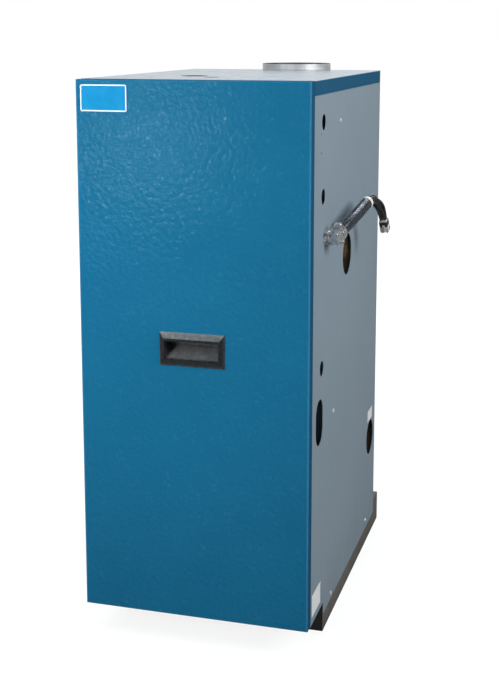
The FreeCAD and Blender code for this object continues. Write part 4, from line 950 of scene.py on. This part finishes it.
def build_connector(heading):
    """The connector's die-cast body and the screws of its cover."""
    axes = outlet_axes(heading)
    elbow = at(*ELBOW)
    seat = at(PANEL_X, *ELBOW[1:])
    bm = bmesh.new()
    add_notched_flange(bm, seat + RIGHT * FLANGE_GAP * MM, RIGHT)
    add_lathe(bm, seat + RIGHT * NECK_X * MM, RIGHT, NECK, "caps")
    add_blocks(bm, elbow, axes, CONNECTOR_BOX)
    add_lathe(bm, elbow, heading, OUTLET)
    for along in OUTLET_RIBS:
        add_lathe(bm, elbow + heading * along * MM, heading, OUTLET_RIB)
    body = make_piece("connector_body", bm, "die_cast", crease=CASTING_CREASE)
    bm = bmesh.new()
    for steps in COVER_SCREWS:
        add_lathe(bm, offset(elbow, axes, steps), axes[-1], COVER_SCREW, "caps")
    make_piece("cover_screws", bm, "bare_steel")
    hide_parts("conduit_connector")


def build_clamp(mouth, heading):
    """The connector's clamp strap, its lugs and two screws, round the outlet."""
    axes = outlet_axes(heading)
    centre = mouth - heading * CLAMP_BACK * MM
    bm = bmesh.new()
    add_lathe(bm, centre, heading, CLAMP_BAND)
    add_blocks(bm, centre, axes, CLAMP_LUGS)
    make_piece("clamp_strap", bm, "die_cast")
    bm = bmesh.new()
    for steps in CLAMP_SCREWS:
        seat = offset(centre, axes, steps)
        add_lathe(bm, seat, axes[-1], CLAMP_SCREW_HEAD, "caps")
        add_lathe(bm, seat, axes[-1], CLAMP_SCREW_TAIL, "caps")
    make_piece("clamp_screws", bm, "bare_steel")


def build_lead():
    conduit, conduit_line = build_conduit()
    end = conduit_line[-1]
    heading = (conduit_line[-1] - conduit_line[-2]).normalized()
    bushing = build_bushing(end, heading)
    wires, wire_line = build_wires()
    plug = build_plug(wire_line[-1], (wire_line[-1] - wire_line[-2]).normalized())
    outlet = (conduit_line[1] - conduit_line[0]).normalized()
    build_connector(outlet)
    build_clamp(conduit_line[0], outlet)


# Small pieces on the jacket and the controls. Sizes are in mm.

FRONT_AXES = (RIGHT, FRONT, UP)

BORDER_W = 1.9
BORDER_INSET = 0.6
BORDER_THICK = 0.5
BORDER_BEVEL = 0.12
BORDER_WHITES = ((0.74, 0.78, 0.81), (0.82, 0.85, 0.87))

# Bare labels on the right side panel: name, span of depth, span of height, and lift of a corner.
# The corner's curl starts where the shares of the way along both spans add up to its start.
LABELS = (
    ("side_label", (38.0, 104.0), (71.0, 112.0), 1.2),
    ("small_label", (556.0, 606.0), (270.0, 294.0), 0.4),
)
LABEL_COLUMNS, LABEL_ROWS = 14, 10
LABEL_GAP = 0.02
LABEL_THICK = 0.15
LABEL_CURL_START = 1.72
LABEL_WHITES = ((0.85, 0.86, 0.87), (0.92, 0.93, 0.94))

# Scales: angle of the first mark, bevel, then for long and for short marks the reach to their
# middle, width, thickness and length. Angles are in degrees.
MARK_COUNT = 28
MARK_STEP = 10.0
LONG_EVERY = 3
GAUGE_SCALE = (-135.0, 0.05, (25.2, 0.7, 0.16, 4.6), (26.2, 0.45, 0.16, 2.6))
DIAL_SCALE = (0.0, 0.06, (23.5, 0.9, 0.2, 5.0), (23.5, 0.6, 0.2, 3.0))
DIAL_SCALE_LIFT = 0.05
GAUGE_CARD_DEPTH = 8.0
GAUGE_CARD = (64, ((0.02, 3.0), (0.02, 29.2), (0.5, 29.2), (0.6, 28.8), (0.6, 3.0)))
GAUGE_SCALE_LIFT = 0.65
CARD_WHITES = ((0.72, 0.72, 0.69), (0.80, 0.80, 0.77))

# The dial's ribs and pointer: depth and reach of a rib, and depth and drop of the pointer
DIAL_RIBS = 36
DIAL_RIB_DEPTH, DIAL_RIB_REACH = 4.4, 18.0
DIAL_RIB_SIZES, DIAL_RIB_BEVEL = (1.3, 6.6, 1.5), 0.3
POINTER_DEPTH, POINTER_DROP = 0.5, 6.2
POINTER_SIZES, POINTER_BEVEL = (1.8, 0.9, 11.0), 0.2


def build_badge_border():
    """The plain badge's pale border, a thin raised frame."""
    low, high = node_box("badge_plate")
    middle = (low + high) / 2
    middle.y = low.y
    width = (high.x - low.x) / MM - 2 * BORDER_INSET
    height = (high.z - low.z) / MM - 2 * BORDER_INSET
    up, right = (height - BORDER_W) / 2, (width - BORDER_W) / 2
    rows = []
    for side in (1, -1):
        rows.append(((0.0, 0.0, side * up), (width, BORDER_THICK, BORDER_W), BORDER_BEVEL))
    for side in (-1, 1):
        rows.append(((side * right, 0.0, 0.0), (BORDER_W, BORDER_THICK, height), BORDER_BEVEL))
    bm = bmesh.new()
    add_blocks(bm, middle, FRONT_AXES, rows)
    white = paper_label("badge_border_white", *BORDER_WHITES)
    make_piece("badge_border", bm, "badge_blue", "door", white)


def label_grid(bm, depths, heights, curl, layer):
    """One side of a label, as rows of vertices: its far upper corner curls off the panel."""
    grid = []
    for row in range(LABEL_ROWS + 1):
        v = row / LABEL_ROWS
        places = []
        for column in range(LABEL_COLUMNS + 1):
            u = column / LABEL_COLUMNS
            share = max(0.0, u + v - LABEL_CURL_START) / (2.0 - LABEL_CURL_START)
            places.append(at(PANEL_X + LABEL_GAP + layer + curl * share ** 2,
                             depths[0] + u * (depths[1] - depths[0]),
                             heights[0] + v * (heights[1] - heights[0])))
        grid.append([bm.verts.new(place) for place in places])
    for low, high in zip(grid, grid[1:]):
        for i in range(LABEL_COLUMNS):
            bm.faces.new((low[i], high[i], high[i + 1], low[i + 1]))
    return grid


def build_labels():
    white = paper_label("blank_label", *LABEL_WHITES)
    for name, depths, heights, curl in LABELS:
        bm = bmesh.new()
        rims = []
        for layer in (0.0, LABEL_THICK):
            grid = label_grid(bm, depths, heights, curl, layer)
            right = [row[-1] for row in grid[1:-1]]
            left = [row[0] for row in grid[1:-1]]
            rims.append(grid[0] + right + grid[-1][::-1] + left[::-1])
        bridge(bm, *rims)
        make_piece(name, bm, "panel_grey", material=white, crease=LABEL_CREASE)


def add_spoke(bm, centre, angle, reach, sizes, bevel):
    """A block that points away from a centre on a front face, at an angle from the top."""
    outward = Vector((math.sin(angle), 0, math.cos(angle)))
    axes = (outward.cross(FRONT), FRONT, outward)
    add_block(bm, centre + outward * reach * MM, axes, sizes, bevel)


def add_scale(bm, centre, scale):
    start, bevel, long, short = scale
    for mark in range(MARK_COUNT):
        reach, *sizes = short if mark % LONG_EVERY else long
        add_spoke(bm, centre, math.radians(start + MARK_STEP * mark), reach, sizes, bevel)


def front_centre(node, depth):
    """The middle of a node's front, at a depth behind its foremost point."""
    low, high = node_box(node)
    centre = (low + high) / 2
    centre.y = low.y + depth * MM
    return centre


def build_gauge_face():
    """The gauge's pale card, with plain scale marks."""
    bm = bmesh.new()
    centre = front_centre("gauge_body", GAUGE_CARD_DEPTH)
    add_lathe(bm, centre, FRONT, GAUGE_CARD)
    card = paper_label("gauge_card", *CARD_WHITES)
    make_piece("gauge_face", bm, "gauge_case", material=card)
    bm = bmesh.new()
    add_scale(bm, centre + FRONT * GAUGE_SCALE_LIFT * MM, GAUGE_SCALE)
    make_piece("gauge_marks", bm, "gauge_case")


def build_dial_marks():
    """Scale marks on the control cover, round the dial."""
    bm = bmesh.new()
    add_scale(bm, front_centre("control_cover", -DIAL_SCALE_LIFT), DIAL_SCALE)
    make_piece("dial_marks", bm, "gauge_case")


def build_dial_grip():
    """Ribs round the dial's rim, and a white pointer in its slot."""
    bm = bmesh.new()
    centre = front_centre("control_dial", DIAL_RIB_DEPTH)
    for rib in range(DIAL_RIBS):
        angle = math.tau * (rib + 0.5) / DIAL_RIBS
        add_spoke(bm, centre, angle, DIAL_RIB_REACH, DIAL_RIB_SIZES, DIAL_RIB_BEVEL)
    make_piece("dial_grip", bm, "handle_black", "dial")
    bm = bmesh.new()
    place = front_centre("control_dial", POINTER_DEPTH)
    place.z = node_box("control_dial")[1].z - POINTER_DROP * MM
    add_block(bm, place, FRONT_AXES, POINTER_SIZES, POINTER_BEVEL)
    make_piece("dial_pointer", bm, "bushing_white", "dial")


# Fastenings and covers. Sizes are in mm.

# A pan-head screw's profile and cross recess, as shares of its radius
PAN_HEAD = ((0.0, 1.0), (0.35, 1.0), (0.5, 0.86), (0.56, 0.6))
PAN_HEAD_SIDES = 20
CROSS_HEIGHT = 0.57
CROSS_SIZES = (1.1, 0.26, 0.1)
CROSS_BEVEL = 0.02

# Nodes with a screw near each corner of their front: inset and radius
FRONT_SCREWS = (
    ("control_cover", 7.0, 2.6),
    ("junction_box", 8.0, 2.8),
    ("burner_access_panel", 8.0, 3.2),
)

# The gas valve without its spigot, and what sits on its front: steps right, forward and up from
# the middle, sizes, and bevel
VALVE_W = 90.0
VALVE_COVER = (
    ((0.0, 1.2, 0.0), (76.0, 2.6, 52.0), 1.0),
    ((14.0, 5.0, 0.0), (34.0, 8.0, 38.0), 2.4),
)
VALVE_TERMINALS = [
    row for up in (-12.0, 0.0, 12.0) for row in (
        ((-20.0, 4.0, up), (14.0, 4.0, 9.0), 0.8),
        ((-20.0, 8.0, up), (6.3, 6.0, 0.8), 0.2),
    )
]
VALVE_SCREWS = [(right, 2.5, up) for right in (-33.0, 33.0) for up in (-21.0, 21.0)]
VALVE_SCREW_R = 2.6

# The draft hood's lapped seams and their rivets
HOOD_HALF = 165.0
SEAM_INSET = 12.0
SEAM_LIFT = 0.35
SEAM_THICK, SEAM_W = 0.9, 18.0
SEAM_SHORT = 3.0
SEAM_BEVEL = 0.3
RIVETS = 7
RIVET_MARGIN = 22.0
RIVET_LIFT = 0.75
RIVET = (18, ((0.0, 2.6), (0.5, 2.5), (1.0, 1.9), (1.25, 0.9)))


def screw_heads(name, places, radius):
    """Heads of pan-head screws with cross recesses, on a front face."""
    bm = bmesh.new()
    first, second = sides(FRONT)
    head = (PAN_HEAD_SIDES, [(along * radius, share * radius) for along, share in PAN_HEAD])
    bar = [share * radius for share in CROSS_SIZES]
    for place in places:
        add_lathe(bm, place, FRONT, head, "caps")
        crown = place + FRONT * CROSS_HEIGHT * radius * MM
        for axes in ((first, second, FRONT), (second, first, FRONT)):
            add_block(bm, crown, axes, bar, CROSS_BEVEL * radius)
    make_piece(name, bm, "bare_steel", material=SCREW_ZINC)


def build_front_screws():
    """Screws of the control cover, the junction box and the burner access panel."""
    for node, inset, radius in FRONT_SCREWS:
        low, high = node_box(node)
        xs = (low.x + inset * MM, high.x - inset * MM)
        zs = (low.z + inset * MM, high.z - inset * MM)
        screw_heads(node + "_screws", [Vector((x, low.y, z)) for x in xs for z in zs], radius)


def build_valve_details():
    """The gas valve's cover with its coil housing, its terminals and its screws."""
    middle = front_centre("gas_valve", 0.0)
    middle.x = node_box("gas_valve")[0].x + VALVE_W * MM / 2
    bm = bmesh.new()
    add_blocks(bm, middle, FRONT_AXES, VALVE_COVER)
    make_piece("valve_cover", bm, "die_cast", material=CLEAN_CASTING)
    bm = bmesh.new()
    add_blocks(bm, middle, FRONT_AXES, VALVE_TERMINALS)
    make_piece("valve_terminals", bm, "magnet_black")
    places = [offset(middle, FRONT_AXES, steps) for steps in VALVE_SCREWS]
    screw_heads("valve_screws", places, VALVE_SCREW_R)


def build_hood_seams():
    """Lapped seams with rivets down the rear of the draft hood's sides."""
    low, high = node_box("draft_hood")
    tall = (high.z - low.z) / MM
    seams = bmesh.new()
    rivets = bmesh.new()
    for side in (-1, 1):
        outward = RIGHT * side
        axes = (outward, FRONT, UP)
        foot = Vector((side * HOOD_HALF * MM, high.y - SEAM_INSET * MM, low.z))
        sizes = (SEAM_THICK, SEAM_W, tall - SEAM_SHORT)
        add_block(seams, offset(foot, axes, (SEAM_LIFT, 0.0, tall / 2)), axes, sizes, SEAM_BEVEL)
        for step in range(RIVETS):
            up = RIVET_MARGIN + step * (tall - 2 * RIVET_MARGIN) / (RIVETS - 1)
            place = offset(foot, axes, (RIVET_LIFT, 0.0, up))
            add_lathe(rivets, place, outward, RIVET, "caps")
    make_piece("hood_seams", seams, "galvanised")
    make_piece("hood_rivets", rivets, "die_cast")


# Stage. Places and sizes are in metres.

WHITE = (1.0, 1.0, 1.0)
SEEN_RAYS = ("Is Camera Ray", "Is Transmission Ray")

# The floor glows where it is seen, less so near the object, and its glow is weak in reflections
FLOOR_SIZE = 30.0
FLOOR_Z = -0.0006
FLOOR_GREYS = ((0.235, 0.24, 0.245), (0.255, 0.26, 0.265))
FLOOR_ROUGH = 0.9
FLOOR_NEAR = (0.55, 2.2)
FLOOR_GLOW = (0.84, 1.0)
FLOOR_MIRRORED = 0.12

# Reflections of the room: the way to its white backdrop, and from there the fall of its strength
# with the cosine. Then the soft fill that lights the rest.
BACKDROP_SIDE = (-0.45, 0.89, 0.0)
BACKDROP_COSINES = (0.70, 0.92)
BACKDROP_STRENGTHS = (0.18, 1.0)
FILL_COLOUR = (0.94, 0.97, 1.0)
FILL_LIGHT = 0.24

# Lamps: name, place, target, size, power, spread in degrees, and the rays that see it
LAMPS = (
    ("key", (-1.05, -2.3, 1.3), (-0.24, -0.42, 0.78), (0.9, 0.9), 7.2, 60.0, "diffuse"),
    ("glint", (-0.84, -2.37, 0.72), (-0.09, -0.417, 0.91), (0.16, 0.16), 3.6, 180.0, "glossy"),
    ("top", (-0.95, -1.85, 2.3), (0.0, -0.42, 0.75), (0.8, 0.8), 21.0, 180.0, "both"),
    ("side", (2.3, -0.9, 2.0), (0.2, 0.0, 0.92), (1.2, 1.2), 19.4, 105.0, "both"),
    ("back", (0.3, 2.8, 2.6), (0.0, 0.2, 0.8), (1.6, 1.2), 30.0, 180.0, "both"),
)


def build_floor():
    """A floor that looks white and keeps a faint shadow of the object."""
    bpy.ops.mesh.primitive_plane_add(size=FLOOR_SIZE, location=(0, 0, FLOOR_Z))
    floor = bpy.context.object
    floor.name = "floor"
    s = Shader("floor_pale")
    far = s.vectors("LENGTH", s.place, output="Value")
    mirrored = s.times(s.light_path("Is Glossy Ray"), FLOOR_MIRRORED)
    seen = s.plus(s.light_path(*SEEN_RAYS), mirrored)
    glow = s.times(seen, s.level(far, *FLOOR_NEAR, FLOOR_GLOW))
    floor.data.materials.append(s.done(
        s.mottle(3, *FLOOR_GREYS, 2), FLOOR_ROUGH, Specular_IOR_Level=0.0,
        Emission_Color=WHITE, Emission_Strength=glow))


def build_world():
    """White where it is seen, bright behind the object in reflections, and a soft fill."""
    world = bpy.data.worlds.new("studio")
    bpy.context.scene.world = world
    world.use_nodes = True
    world.node_tree.nodes.clear()
    n = Nodes(world.node_tree, "Generated")

    def backdrop(colour, strength):
        return n.add("Background", Color=colour, Strength=strength).outputs[0]

    def choose(share, first, second):
        return n.fill(n.add("MixShader"), share, first, second).outputs[0]

    toward = n.vectors("DOT_PRODUCT", n.place, BACKDROP_SIDE, output="Value")
    room = backdrop(WHITE, n.level(toward, *BACKDROP_COSINES, BACKDROP_STRENGTHS))
    lit = choose(n.light_path("Is Glossy Ray"), backdrop(FILL_COLOUR, FILL_LIGHT), room)
    shown = choose(n.light_path(*SEEN_RAYS), lit, backdrop(WHITE, 1.0))
    n.add("OutputWorld", Surface=shown)


def build_lamps():
    for name, place, target, size, power, spread, seen in LAMPS:
        lamp = bpy.data.lights.new(name, "AREA")
        lamp.shape = "RECTANGLE"
        lamp.size, lamp.size_y = size
        lamp.energy = power
        lamp.spread = math.radians(spread)
        obj = new_object(name, lamp)
        obj.location = place
        aim = Vector(target) - Vector(place)
        obj.rotation_euler = aim.to_track_quat("-Z", "Y").to_euler()
        obj.visible_camera = False
        obj.visible_diffuse = seen != "glossy"
        obj.visible_glossy = seen != "diffuse"


def build_camera():
    camera = bpy.data.cameras.new("camera")
    camera.sensor_width = CAMERA_SENSOR
    camera.sensor_fit = "AUTO"
    camera.lens = CAMERA_LENS
    camera.shift_y = CAMERA_SHIFT_Y
    obj = new_object("camera", camera)
    obj.location = CAMERA_PLACE
    obj.rotation_euler = (math.pi / 2 + CAMERA_PITCH, 0.0, CAMERA_TURN)
    bpy.context.scene.camera = obj


def main():
    bpy.context.scene.view_settings.view_transform = "Standard"
    build_camera()
    dress_nodes()
    build_lead()
    build_badge_border()
    build_labels()
    build_gauge_face()
    build_dial_marks()
    build_dial_grip()
    build_front_screws()
    build_valve_details()
    build_hood_seams()
    build_floor()
    build_world()
    build_lamps()


main()
